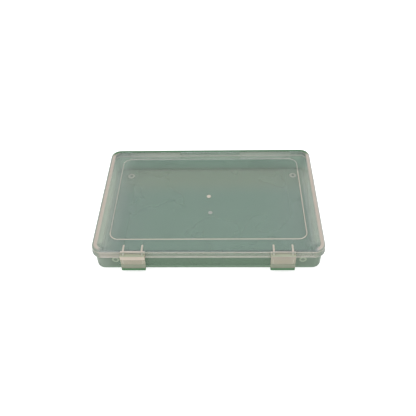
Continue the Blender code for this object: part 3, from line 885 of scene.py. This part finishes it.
class CRAFTBOX_OT_lid(bpy.types.Operator):
    """Make the lid with its bead, hinge knuckles and the ears that carry the latches"""

    bl_idname = "craft_box.lid"
    bl_label = "Lid"

    def execute(self, context):
        box, lid, latch = settings().box, settings().lid, settings().latch
        tree = rows_tree()
        gate_place = (0, box.middle - settings().tray.gate_forward, 0)
        gate_top = lid.top + settings().tray.gate_height
        gate = moved(disc(lid.gate_radius, lid.top - lid.wall / 2, gate_top), gate_place)
        ear_bar = rod(PIVOT_AXIS, latch.pin_radius + box.gap, latch.width)
        mesh = combined("lid", swept_shell("lid", lid_profile()), [
            ("UNION", bead_shape()),
            ("UNION", gate),
            ("UNION", ear_rows(tree, "ear_ribs", ear_rib_outline())),
            ("UNION", ear_rows(tree, "ears", ear_outline())),
            ("UNION", knuckle_rows(tree, "lid_knuckles", lid_knuckle_outline(), 1)),
            ("DIFFERENCE", hinge_bores(tree)),
            ("DIFFERENCE", in_rows(tree, "ear_bores", ear_bar, pair_of(LATCH_PITCH))),
        ])
        finish_piece("lid_moulding", mesh, lid_material(), "lid_body", "lid")
        return {"FINISHED"}


# Latches


def latch_outline():
    """A latch from the side: pivot block, plate, flared finger lip with a rolled edge, hook."""
    box, latch = settings().box, settings().latch
    inner = latch.face - latch.plate
    pivot_out = box.middle - box.depth / 2 - PIVOT_AXIS.y
    nose = -(pivot_out + tray_inset(PIVOT_AXIS.z - latch.hook_drop)) + latch.hook_gap
    roll = (latch.roll_out, -(latch.height - latch.back - latch.roll))
    flare = (latch.face, -latch.flare)
    hook_root = -latch.hook_drop - latch.hook_root
    flare_touch = tangent_angle(flare, roll, latch.roll, -1)
    inner_touch = tangent_angle((inner, hook_root), roll, latch.roll, 1) - 360
    corner = (latch.front - latch.edge, latch.back - latch.edge)
    points = arc((0, 0), latch.back, 180, 90, EDGE_STEPS * 2)
    points += arc(corner, latch.edge, 90, 0, EDGE_STEPS)
    points += [(latch.front, -latch.block + latch.front - latch.face), (latch.face, -latch.block)]
    points += [flare] + arc(roll, latch.roll, flare_touch, inner_touch, ROUND_STEPS // 2)
    points += [
        (inner, hook_root), (nose, -latch.hook_drop - latch.hook), (nose, -latch.hook_drop),
        (inner, -latch.hook_drop), (inner, -latch.block), (-latch.back, -latch.block),
    ]
    return outward(points)


def slot_outline():
    """The room that an ear needs in the block as the latch turns from shut to open."""
    box, latch = settings().box, settings().latch
    half_neck = latch.ear_neck / 2 + box.gap
    radius = latch.ear_radius + box.gap
    leave = angle_at(half_neck / radius)
    past = latch.back + box.gap
    points = arc((0, 0), radius, -180 + leave, 90 - leave, ROUND_STEPS)
    return outward(points + [(half_neck, past), (-past, past), (-past, -half_neck)])


def tongue(half, top, low, radius):
    """A front outline with square upper corners and round lower ones."""
    right = arc((half - radius, low + radius), radius, 0, -90, EDGE_STEPS)
    left = [(-x, z) for x, z in reversed(right)]
    return [(-half, top), (half, top)] + right + left


def cut_both_sides(outline, width, out):
    """Cuts of one side outline, on both sides of a latch."""
    return [
        ("DIFFERENCE", moved(prism(outline, width, 0), (side * out, 0, 0))) for side in (-1, 1)
    ]


def latch_mesh(name):
    """A latch at the middle of the box's front."""
    box, latch = settings().box, settings().latch
    past = box.gap
    inner = latch.face - latch.plate
    pivot_out = box.middle - box.depth / 2 - PIVOT_AXIS.y
    ahead = PIVOT_AXIS.y - latch.roll_out - latch.roll - past
    far = -(pivot_out + settings().tray.base_inset + past)
    behind = PIVOT_AXIS.y + pivot_out + settings().tray.base_inset + past
    head = PIVOT_AXIS.z + latch.back
    front = tongue(latch.width / 2, head + past, head - latch.height - past, latch.corner)
    pad = tongue(
        latch.width / 2 - latch.pad_inset, PIVOT_AXIS.z - latch.block / 2,
        PIVOT_AXIS.z - latch.flare, latch.pad_corner,
    )
    pad_body = front_prism(pad, PIVOT_AXIS.y - latch.face - latch.pad_rise,
                           PIVOT_AXIS.y - latch.face + latch.plate / 2)
    hook_top, hook_low = past - latch.hook_drop, -latch.hook_drop - latch.hook_root
    beside = outward([(inner, hook_low), (far, hook_low), (far, hook_top), (inner, hook_top)])
    beside_x = latch.width / 2 - latch.hook_side / 2 + past / 2
    ear_x = latch.width / 2 - latch.ear_inset
    body = prism(latch_outline(), latch.width + 2 * past, 0)
    return combined(name, body, [
        ("INTERSECT", front_prism(front, ahead, behind)),
        *cut_both_sides(beside, latch.hook_side + past, beside_x),
        ("UNION", pad_body),
        *cut_both_sides(slot_outline(), latch.ear + 2 * past, ear_x),
        ("DIFFERENCE", rod(PIVOT_AXIS, latch.pin_radius + past, latch.width + 2 * past)),
    ])


class CRAFTBOX_OT_latches(bpy.types.Operator):
    """Make the two clip latches"""

    bl_idname = "craft_box.latches"
    bl_label = "Latches"

    def execute(self, context):
        for side, pivot in PIVOTS.items():
            material = latch_material(side)
            mesh = latch_mesh(side)
            mesh.transform(Matrix.Translation((pivot.x, 0, 0)))
            node = "latch_" + side
            finish_piece(
                node + "_moulding", mesh, material, node + "_body", node
            )
        return {"FINISHED"}


# Pins


class CRAFTBOX_OT_pins(bpy.types.Operator):
    """Make the four wire pins that the lid and the latches turn on"""

    bl_idname = "craft_box.pins"
    bl_label = "Pins"

    def execute(self, context):
        box, hinge, latch = settings().box, settings().hinge, settings().latch
        material = steel_material()
        kinds = (
            ("hinge", HINGE_AXIS, hinge, box.width / 2 - hinge.inset, "tray_body"),
            ("latch", PIVOT_AXIS, latch, LATCH_PITCH / 2, "lid_body"),
        )
        for side, sign in (("left", -1), ("right", 1)):
            for kind, axis, sizes, out, body in kinds:
                long = sizes.width - 2 * sizes.pin_recess
                wire = moved(rod(axis, sizes.pin_radius, long, box.softening), (sign * out, 0, 0))
                finish_piece(f"{kind}_wire_{side}", mesh_of(wire, side), material, body,
                             f"{kind}_pin_{side}")
        return {"FINISHED"}


# Materials

PLASTIC_IOR = 1.49
FACING_GLOSS = 0.04
GRAZING_GLOSS = 0.12
TRAY_EDGE_HAZE = 0.3
LID_EDGE_HAZE = 0.2
BAND_LEAN = 0.004  # how far in the lid's pale bands move for each metre to the right


def empty_graph(owner):
    """The emptied graph of a material or a world."""
    owner.use_nodes = True
    owner.node_tree.nodes.clear()
    return Graph(owner.node_tree)


def new_material(name):
    """A material with an empty node tree, as the material and its graph."""
    material = bpy.data.materials.new(name)
    return material, empty_graph(material)


def mix(graph, factor, first, second):
    """A shader between two shaders."""
    return graph.node("ShaderNodeMixShader", None, {"Fac": factor, 1: first, 2: second})


def show(graph, shader, kind="ShaderNodeOutputMaterial"):
    """Make a shader what the material, or the world, shows."""
    out = graph.tree.nodes.new(kind)
    graph.tree.links.new(shader.socket, out.inputs["Surface"])


def painted(graph, colour, haze, layers):
    """Lay zones over a colour and a haze, the last on top.

    Each zone is its mask, its colour and the haze that it has where the mask is 1.
    """
    for mask, over, cover in layers:
        colour = graph.blend(mask, colour, (*over, 1))
        haze = haze + (cover - haze) * mask
    return colour, haze


def plastic(graph, haze, tint, inside, values, dark):
    """A sheet of plastic that scatters a share of the light and lets the rest through.

    Where it is dark, it is a dull deep green: partly the thick edge's own green, partly painted shade
    where the shaded tray shows through.
    """
    finish, values = settings().plastics, {**values, "IOR": PLASTIC_IOR}
    body = graph.node("ShaderNodeBsdfPrincipled", None, values)
    glow = graph.node("ShaderNodeBsdfTranslucent", None, {"Color": (*inside, 1)})
    milk = mix(graph, finish.through, body, glow)
    clear = graph.node("ShaderNodeBsdfTransparent", None, {"Color": (*tint, 1)})
    mirror = {**values, "Base Color": (1, 1, 1, 1), "Metallic": 1.0}
    gloss = graph.node("ShaderNodeBsdfPrincipled", None, mirror)
    shine = FACING_GLOSS + edge_on(graph) ** 5 * GRAZING_GLOSS
    sheet = mix(graph, haze, mix(graph, shine, clear, gloss), milk)
    # the dull deep green edge: partly the plastic's own colour, partly painted shade
    dull = {"Base Color": (*finish.deep, 1), "Roughness": 0.5, "Specular IOR Level": 0.1}
    edge = graph.node("ShaderNodeBsdfPrincipled", None, dull)
    show(graph, mix(graph, dark, sheet, edge))


def clouds(graph, place, scale):
    """A slow change through the plastic, from 0 to 1."""
    sizes = {"Vector": place, "Scale": scale, "Detail": 3.0, "Roughness": 0.55}
    return graph.node("ShaderNodeTexNoise", {"noise_dimensions": "3D"}, sizes)


def uneven(graph, cloud, plain, change):
    """A colour that a cloud makes darker and paler by a share."""
    dark, pale = ((*[part * (1 + way) for part in plain], 1) for way in (-change, change))
    return graph.blend(cloud, dark, pale)


def soft_waves(graph, place, scale, strength, distance):
    """The faint unevenness of a moulded face, as a bump."""
    height = clouds(graph, place, scale)
    values = {"Strength": strength, "Distance": distance, "Height": height}
    return graph.node("ShaderNodeBump", None, values)


def edge_on(graph):
    """How far the surface is turned from the eye, from 0 facing it to 1 edge on."""
    return graph.node("ShaderNodeLayerWeight", None, {"Blend": 0.5}, 1)


class Places:
    """Where a point of a moulding lies, for masks on its ribs, edges and marks."""

    def __init__(self, graph):
        self.vector = graph.node("ShaderNodeTexCoord", None, None, 3)
        self.x, self.y, self.z = graph.split(self.vector)
        self.box = settings().box
        self.along = self.y - self.box.middle
        self.side_x, self.side_y = abs(self.x), abs(self.along)
        # how deep the strip along one side of the box is, and how softly it begins
        self.strip, self.fade = 0.8 * self.box.corner, 0.3 * self.box.corner

    def inside(self, past_x, past_y, radius):
        """How far a point lies inside a rounded outline, from how far it is past the corners."""
        corner_x, corner_y = past_x.math("MAXIMUM", 0), past_y.math("MAXIMUM", 0)
        out = (corner_x * corner_x + corner_y * corner_y).math("SQRT")
        return radius - out - past_x.math("MAXIMUM", past_y).math("MINIMUM", 0)

    def inset(self):
        """How far a point lies in from the lid's outline."""
        corner = self.box.corner
        past_x = self.side_x - (self.box.width / 2 - corner)
        past_y = self.side_y - (self.box.depth / 2 - corner)
        return self.inside(past_x, past_y, corner)

    def leaning(self, middle, slope):
        """A share that has one value in the middle and grows to the left, by metre."""
        return middle - self.x * slope

    def apart(self, x, y, centre_x, centre_y):
        """The distance from a place, along two axes."""
        across, along = x - centre_x, y - centre_y
        return (across * across + along * along).math("SQRT")

    def ends(self):
        """1 along the box's two ends and 0 along its front and back."""
        return self.side_x.above(self.box.width / 2 - self.strip, self.fade)

    def rear(self):
        """1 along the box's back."""
        return self.along.above(self.box.depth / 2 - self.strip, self.fade)

    def front(self):
        """1 along the box's front."""
        return self.along.below(self.strip - self.box.depth / 2, self.fade)

    def outer_share(self):
        """From 0 around the middle of the width up to 1 at the ends."""
        return self.side_x.step(0.2 * self.box.width, 0.5 * self.box.width)

    def hinges(self):
        """1 across the width of each hinge."""
        hinge = settings().hinge
        from_hinge = abs(self.side_x - (self.box.width / 2 - hinge.inset))
        return from_hinge.below(hinge.width / 2, 2 * self.box.gap)


def tray_material():
    """Green polypropylene, milky, with a satin face. Feet and marks show in its floor. Painted shade
    darkens its inner back wall and lower edge; painted light makes its inner ends and the front's left
    end paler.
    """
    finish, box, tray = settings().plastics, settings().box, settings().tray
    lip = settings().lid.lip_height
    material, graph = new_material("green_plastic")
    at = Places(graph)
    soft = box.gap
    inset, ends, rear, front = at.inset(), at.ends(), at.rear(), at.front()
    floor_top = tray.foot_height + tray.wall
    floor = at.z.below(floor_top + soft, soft)
    under = at.z.below(tray.foot_height + soft, soft / 2)
    on_floor = floor * (1 - under)
    foot_x, foot_y = box.width / 2 - tray.foot_side, box.depth / 2 - tray.foot_end
    from_foot = at.apart(at.side_x, at.side_y, foot_x, foot_y)
    seen_x = abs(at.x - tray.seen_across)
    mark_x = abs(at.x - 2 * tray.seen_across)
    from_mark = at.apart(mark_x, at.along, foot_x, foot_y - tray.seen_back)
    from_seen = at.apart(seen_x, at.z, foot_x - tray.seen_side, tray.seen_height)
    ring, mark, seen = (
        away.between(hole * tray.foot_radius, outer * tray.foot_radius, soft)
        for away, outer, hole in (
            (from_foot, 1.1, 0.55), (from_mark, 1.2, 0.5), (from_seen, 1.1, 0.55))
    )
    from_gate = at.apart(at.x, at.along, tray.seen_across, tray.gate_seen)
    gate = from_gate.below(1.5 * tray.gate_radius, soft)
    past_wall = inset.above(tray.base_inset + tray.wall / 2, soft)
    inner = past_wall * (1 - floor)
    # painted shade on the inner back wall below the step
    shaded_back_wall = rear * past_wall * (1 - under)
    shaded_back_wall = shaded_back_wall * inset.below(tray.base_inset + tray.wall + tray.edge / 2, soft)
    shaded_back_wall = shaded_back_wall * at.z.below(tray.step_height + 2 * soft, soft)
    fillet = floor * inset.below(tray.base_inset + tray.wall + 1.8 * tray.edge, tray.edge / 2)
    nearer = at.along.step(0.47 * box.depth, 0.33 * box.depth)
    rim = at.z.above(tray.rim_top - 2 * soft, soft)
    step = at.z.between(tray.step_height - 3 * soft, tray.step_height + soft, soft)
    lip_seen = abs(at.z - (tray.step_height + tray.lip_seen)).below(lip, soft)
    # painted shade: the tray's lower outer edge gets the dull dark edge
    foot_edge = at.z.below(tray.foot_height + 1.2 * tray.edge, tray.edge / 2)
    foot_edge = foot_edge * inset.below(tray.base_inset + 1.2 * tray.edge, tray.edge / 2)
    behind_eye = at.z.above(HINGE_AXIS.z - settings().hinge.radius, soft)
    cloud = clouds(graph, at.vector, 14.0)
    green = uneven(graph, cloud, finish.tray, 0.08)
    haze = finish.tray_haze + edge_on(graph) ** 4 * (TRAY_EDGE_HAZE * (1 - finish.tray_haze))
    colour, haze = painted(graph, green, haze, (
        (at.outer_share() * (1 - inner) * 0.4, finish.frost_and_light, 0.55),
        # painted light: the left end of the front wall is paler, where the lamp from the front left
        # falls
        (at.x.step(-0.40 * box.width, -0.46 * box.width) * (1 - inner) * front * 0.4,
         finish.frost_and_light, 0.6),
        # painted shade: the inner back wall and its back corners darker green
        (shaded_back_wall * (at.leaning(0.74, -0.6) - at.outer_share() * 0.2), finish.shade, 0.75),
        (ends * rear * inner * 0.6, finish.shade, 0.8),
        # painted light: the inner end walls and their floor edge are paler where light comes through
        # them, fading towards the back
        (ends * (inner + fillet).math("MINIMUM", 1) * nearer * 0.85, finish.mist_and_light, 0.8),
        (rear * inner * at.hinges() * behind_eye * 0.6, finish.mist_and_light, 0.92),
        (rear * inner * lip_seen, finish.edge, 1.0),
        (rim * (ends * 0.9 + rear * 0.4).math("MINIMUM", 1), finish.edge, 0.95),
        (step * (1 - inner) * 0.4, finish.edge, 0.8),
        (seen * front * 0.9, finish.skirt, 0.95),
        (under * ring, finish.edge, 1.0),
        (on_floor * mark, finish.mark, 1.0),
        (on_floor * gate, finish.edge, 1.0),
        (at.along.above(box.depth / 2, soft), finish.tray, 0.9),
    ))
    values = {
        "Base Color": colour, "Roughness": 0.24 + cloud * 0.06,
        "Normal": soft_waves(graph, at.vector, scale=22.0, strength=0.06, distance=0.0006),
    }
    plastic(graph, haze, finish.tray_tint, finish.tray, values, foot_edge * 0.5)
    return material


def lid_material():
    """Natural polypropylene, clear with a faint milk and thicker along its edges, which painted
    highlights make paler; painted light, shade and reflection lie on its panel, skirt and back edge.
    """
    finish, box, lid = settings().plastics, settings().box, settings().lid
    material, graph = new_material("clear_lid_plastic")
    at = Places(graph)
    soft = box.gap
    inset, ends, rear, front = at.inset(), at.ends(), at.rear(), at.front()
    bottom = lid.top - lid.skirt
    raised = at.z.above(lid.top + soft / 4, soft / 4)
    skirt = at.z.below(lid.top - lid.edge, soft)
    lip = at.z.below(bottom + 0.4 * lid.lip_height, soft / 2)
    crown = at.z.above(lid.top - lid.wall - soft, soft)
    shifted = inset + at.x * BAND_LEAN
    band = shifted.between(0.75 * lid.edge, 2.5 * lid.edge, 2 * soft)
    # painted highlight along the lid's rounded front edge
    crease = abs(at.z - (lid.top - 1.05 * lid.edge)).below(0.25 * lid.edge, soft / 2)
    crease = crease * inset.below(0.4 * lid.edge, soft)
    # painted light: pale strips over the lid's ends, where the lit end walls show through, stronger to
    # the left and towards the front
    strip = inset.below(0.75 * lid.bead_side, 0.3 * lid.bead_side) * crown * at.leaning(0.87, 1.3)
    strip = strip * (1 - at.along * 2.5)
    strip = strip * at.side_x.above(box.width / 2 - lid.bead_side, 0.3 * lid.bead_side)
    strip = strip * at.along.step(0.42 * box.depth, 0.12 * box.depth)
    strip = strip * at.along.above(-0.44 * box.depth, 0.03 * box.depth)
    # painted reflection: a faint pale veil over the middle of the panel towards the back
    reflection_veil = at.along.step(-0.03 * box.depth, 0.15 * box.depth) * crown
    reflection_veil = reflection_veil * at.along.step(0.33 * box.depth, 0.26 * box.depth)
    # painted light: the lid's left end is paler
    near_left = at.x.step(-0.36 * box.width, -0.44 * box.width) * crown
    border = at.side_x.step(0.25 * box.width, 0.46 * box.width) * crown
    outline = shifted.below(0.75 * lid.edge, soft) * ends
    # the bead's painted highlight is dimmer along the back and the left end
    back_bead = at.along.above(box.depth / 4, soft)
    left_bead = at.x.below(lid.bead_side + lid.bead_corner - box.width / 2, soft)
    faint = back_bead.math("MAXIMUM", left_bead * at.along.above(-box.depth / 3, soft))
    # painted light: the front edge above each latch and the skirt behind it are lightened where the
    # latch shades them
    at_latch = abs(at.side_x - LATCH_PITCH / 2).below(settings().latch.width / 2, soft)
    reach = at.leaning(0.33, 1.7) * lid.edge
    painted_light_above_latch = at_latch * front * (inset - reach).below(0, soft) * (1 - skirt)
    painted_light_behind_latch = at_latch * front * skirt * at.z.above(lid.top - 3.2 * lid.edge, soft)
    front_edge = front * inset.below(lid.edge, soft)
    knuckle = at.along.above(box.depth / 2 + lid.lip_reach + lid.draft + soft, soft)
    cloud = clouds(graph, at.vector, 11.0)
    haze = finish.clear_haze * (0.8 + 0.4 * cloud) + edge_on(graph) ** 4 * LID_EDGE_HAZE
    milk = uneven(graph, cloud, finish.clear, 0.03)
    colour, haze = painted(graph, milk, haze, (
        (reflection_veil, finish.edge, 0.09),
        (at.along.above(0.39 * box.depth, 0.015 * box.depth) * crown, finish.mist_and_light, 0.14),
        (at.hinges() * at.along.above(0.42 * box.depth, 0.01 * box.depth) * crown,
         finish.mist_and_light, 0.25),
        (border * 0.5, finish.frost_and_light, 0.10),
        (near_left, finish.frost_and_light, 0.2),
        (strip, finish.mist_and_light, 0.36),
        (skirt, finish.skirt, 0.28),
        # painted light: the skirt is paler towards the ends, more on the left; painted highlight on its
        # front corners
        (skirt * at.outer_share() * at.leaning(0.6, 2.5), finish.edge, 0.5),
        (skirt * front * at.side_x.above(box.width / 2 - lid.edge, lid.wall), finish.edge, 1.0),
        # painted shade: a dark green rim along the lid's rounded ends
        (outline, finish.outline, 0.85),
        # painted highlight: a pale band where the lid's rounded ends turn down
        (band * crown * ends, finish.edge, 0.8),
        (crease * front * 0.9, finish.edge, 0.8),
        (crease * front * 0.5, finish.pad, 0.9),
        (painted_light_above_latch * 0.9, finish.edge, 1.0),
        (painted_light_behind_latch, finish.mist_and_light, 1.0),
        (lip, finish.edge, 1.0),
        (raised * (1 - faint * (0.6 - 0.3 * at.outer_share())), finish.edge, 0.95),
        (knuckle, finish.frost_and_light, 1.0),
    ))
    values = {
        "Base Color": colour, "Roughness": 0.16 + cloud * 0.06 + front_edge * 0.14,
        "Normal": soft_waves(graph, at.vector, scale=16.0, strength=0.03, distance=0.0008),
    }
    # painted shade: a dull dark green band along the back edge, where the shaded tray shows through it
    face = at.z.above(lid.top - 0.6 * lid.wall, soft)
    dark = inset.below(2.25 * lid.edge, soft) * face
    dark = dark.math("MAXIMUM", inset.below(1.2 * lid.edge, soft) * (1 - skirt))
    dark = dark * rear * (1 - knuckle) * 0.95
    plastic(graph, haze.math("MINIMUM", 1), finish.clear_tint, finish.clear, values, dark)
    return material


def latch_material(side):
    """The same clear plastic in a latch, where it is thicker and so milkier, with a painted highlight
    on its block, painted light on the block's back and painted shade on its rolled lip.
    """
    finish, latch = settings().plastics, settings().latch
    material, graph = new_material(f"clear_latch_plastic_{side}")
    at = Places(graph)
    soft = settings().box.gap
    from_middle = abs(at.x - PIVOTS[side].x)
    half = latch.width / 2 - latch.pad_inset
    low = PIVOT_AXIS.z - latch.flare
    in_pad = at.inside(
        from_middle - (half - latch.pad_corner), (low + latch.pad_corner) - at.z, latch.pad_corner
    )
    top = at.z.above(PIVOT_AXIS.z + latch.back - latch.edge, soft)
    block = at.z.above(PIVOT_AXIS.z - latch.block, soft) * (1 - top)
    crease = abs(at.z - (low - 2 * soft)).below(2 * soft, soft)
    pad_line = abs(in_pad).below(soft, soft) * (1 - block) * (1 - top)
    flare = at.z.below(low - 2 * soft, soft)
    # painted light: the back of the block is painted pale and solid, where the gap to the lid's skirt
    # falls into shade
    behind = at.y.above(PIVOT_AXIS.y + latch.back / 2, soft) * at.z.above(PIVOT_AXIS.z, soft)
    # painted shade: the rolled finger lip is dull dark green, where the shaded tray shows through it
    roll = at.z.below(PIVOT_AXIS.z + latch.back - latch.height + 3 * latch.roll, 2 * soft)
    # painted highlight: how strongly the block face takes the pale edge colour, more on the left latch
    frost_and_light = finish.left_block_highlight if side == "left" else finish.right_block_highlight
    milk = graph.blend(top, (*finish.pad, 1), (*finish.skirt, 1))
    colour, haze = painted(graph, milk, finish.pad_haze + top * 0.3, (
        (block, finish.edge, frost_and_light),
        (behind, finish.edge, 1.0),
        (pad_line * 0.6, finish.edge, 0.8),
        (flare * 0.6, finish.skirt, 0.5),
        (crease * 0.7, finish.deep, 0.7),
    ))
    values = {
        "Base Color": colour, "Roughness": 0.2,
        "Normal": soft_waves(graph, at.vector, scale=60.0, strength=0.1, distance=0.0002),
    }
    plastic(graph, haze, finish.clear_tint, finish.pad, values, roll * 0.95)
    return material


def steel_material():
    """Plain drawn wire."""
    finish = settings().plastics
    material, graph = new_material("drawn_wire")
    place = graph.node("ShaderNodeTexCoord", None, None, 3)
    values = {
        "Base Color": (*finish.steel, 1), "Metallic": 1.0, "Roughness": 0.28,
        "Normal": soft_waves(graph, place, scale=2500.0, strength=0.2, distance=0.00005),
    }
    show(graph, graph.node("ShaderNodeBsdfPrincipled", None, values))
    return material


# Stage

SENSOR_WIDTH = 36
CLIP_START = 0.01


def add_lamp(name, place, size, power, mirrored=True):
    """A soft lamp that looks at the origin, and that gloss shows or leaves out."""
    lamp = bpy.data.lights.new(name, "AREA")
    lamp.shape = "RECTANGLE"
    lamp.size, lamp.size_y = size
    lamp.energy = power
    obj = new_object(name, lamp)
    obj.visible_glossy = mirrored
    obj.location = place
    obj.rotation_euler = (-Vector(place)).to_track_quat("-Z", "Y").to_euler()


def camera_matrix(stage):
    """The camera's place and its turn, tilt and roll, as a matrix."""
    tilt, turn, roll = stage.tilt, stage.turn, stage.roll
    level = Vector((-math.sin(turn), math.cos(turn), 0))
    ahead = level * math.cos(tilt) - Vector((0, 0, math.sin(tilt)))
    right = Vector((math.cos(turn), math.sin(turn), 0))
    down = ahead.cross(right)
    rolled_right = right * math.cos(roll) + down * math.sin(roll)
    rolled_down = down * math.cos(roll) - right * math.sin(roll)
    axes = Matrix((rolled_right, -rolled_down, -ahead)).transposed().to_4x4()
    return Matrix.Translation(stage.camera) @ axes


def white_for_eyes(graph, kind, strength):
    """Where the eye looks, straight or by mirror or glass, and the white that it sees there."""
    path = graph.node("ShaderNodeLightPath").socket.node.outputs
    seen = [Value(graph, path[name]) for name in (
        "Is Camera Ray", "Is Glossy Ray", "Is Transmission Ray")]
    looks = seen[0].math("MAXIMUM", seen[1]).math("MAXIMUM", seen[2])
    return looks, graph.node(kind, None, {"Color": (1, 1, 1, 1), "Strength": strength})


class CRAFTBOX_OT_stage(bpy.types.Operator):
    """Make the floor, the light and the camera"""

    bl_idname = "craft_box.stage"
    bl_label = "Stage"

    def execute(self, context):
        scene, stage = context.scene, settings().stage
        scene.view_settings.view_transform = "Standard"

        camera = bpy.data.cameras.new("camera")
        camera.lens = stage.lens
        camera.sensor_width = SENSOR_WIDTH
        camera.clip_start = CLIP_START
        scene.camera = new_object("camera", camera)
        scene.camera.matrix_world = camera_matrix(stage)

        scene.world = bpy.data.worlds.new("plain_light")
        graph = empty_graph(scene.world)
        looks, white = white_for_eyes(graph, "ShaderNodeBackground", 1.0)
        light = graph.node("ShaderNodeBackground", None,
                           {"Color": (1, 1, 1, 1), "Strength": stage.daylight})
        show(graph, mix(graph, looks, light, white), "ShaderNodeOutputWorld")

        shape = bmesh.new()
        bmesh.ops.create_grid(shape, x_segments=8, y_segments=8, size=stage.floor / 2)
        floor = new_object("floor", mesh_of(shape, "floor"))
        material, graph = new_material("pale_floor")
        looks, glow = white_for_eyes(graph, "ShaderNodeEmission", stage.floor_glow)
        paint = graph.node("ShaderNodeBsdfDiffuse", None, {"Color": (*[stage.floor_shade] * 3, 1)})
        added = graph.node("ShaderNodeAddShader", None, {0: paint, 1: glow})
        above = mix(graph, looks, paint, added)
        from_below = graph.node("ShaderNodeNewGeometry").socket.node.outputs["Backfacing"]
        clear = graph.node("ShaderNodeBsdfTransparent")
        show(graph, mix(graph, Value(graph, from_below), above, clear))
        floor.data.materials.append(material)

        add_lamp("fill", place=(0.6, 0.25, 0.8), size=(0.5, 0.5), power=1.2)
        add_lamp("front", place=(-0.16, -0.95, 0.30), size=(0.9, 0.3), power=3.8)
        add_lamp("key", place=(-0.08, -0.10, 0.95), size=(0.3, 0.3), power=2.4, mirrored=False)
        return {"FINISHED"}


class CRAFTBOX_PT_panel(bpy.types.Panel):
    """The operators that make the box, in the 3D view's sidebar"""

    bl_label = "Craft box"
    bl_idname = "CRAFTBOX_PT_panel"
    bl_space_type = "VIEW_3D"
    bl_region_type = "UI"
    bl_category = "Craft box"

    def draw(self, context):
        for operator in OPERATORS:
            self.layout.operator(operator.bl_idname)


SETTING_GROUPS = (
    BoxSizes, TraySizes, LidSizes, HingeSizes, LatchSizes, Plastics, StageSizes, BoxSettings,
)
OPERATORS = (
    CRAFTBOX_OT_stage, CRAFTBOX_OT_tray, CRAFTBOX_OT_lid, CRAFTBOX_OT_latches, CRAFTBOX_OT_pins,
)


def register():
    """Add the settings, the operators and the panel to Blender."""
    for kind in (*SETTING_GROUPS, *OPERATORS, CRAFTBOX_PT_panel):
        bpy.utils.register_class(kind)
    bpy.types.Scene.craft_box = bpy.props.PointerProperty(type=BoxSettings)


def unregister():
    """Take them out again."""
    del bpy.types.Scene.craft_box
    for kind in reversed((*SETTING_GROUPS, *OPERATORS, CRAFTBOX_PT_panel)):
        bpy.utils.unregister_class(kind)


def main():
    """Make the box and its stage."""
    register()
    for old in list(bpy.data.objects):
        if old.type in {"CAMERA", "LIGHT"} or old.name == "Cube":
            bpy.data.objects.remove(old)
    bpy.ops.craft_box.stage()
    bpy.ops.craft_box.tray()
    bpy.ops.craft_box.lid()
    bpy.ops.craft_box.latches()
    bpy.ops.craft_box.pins()


if __name__ == "__main__":
    main()
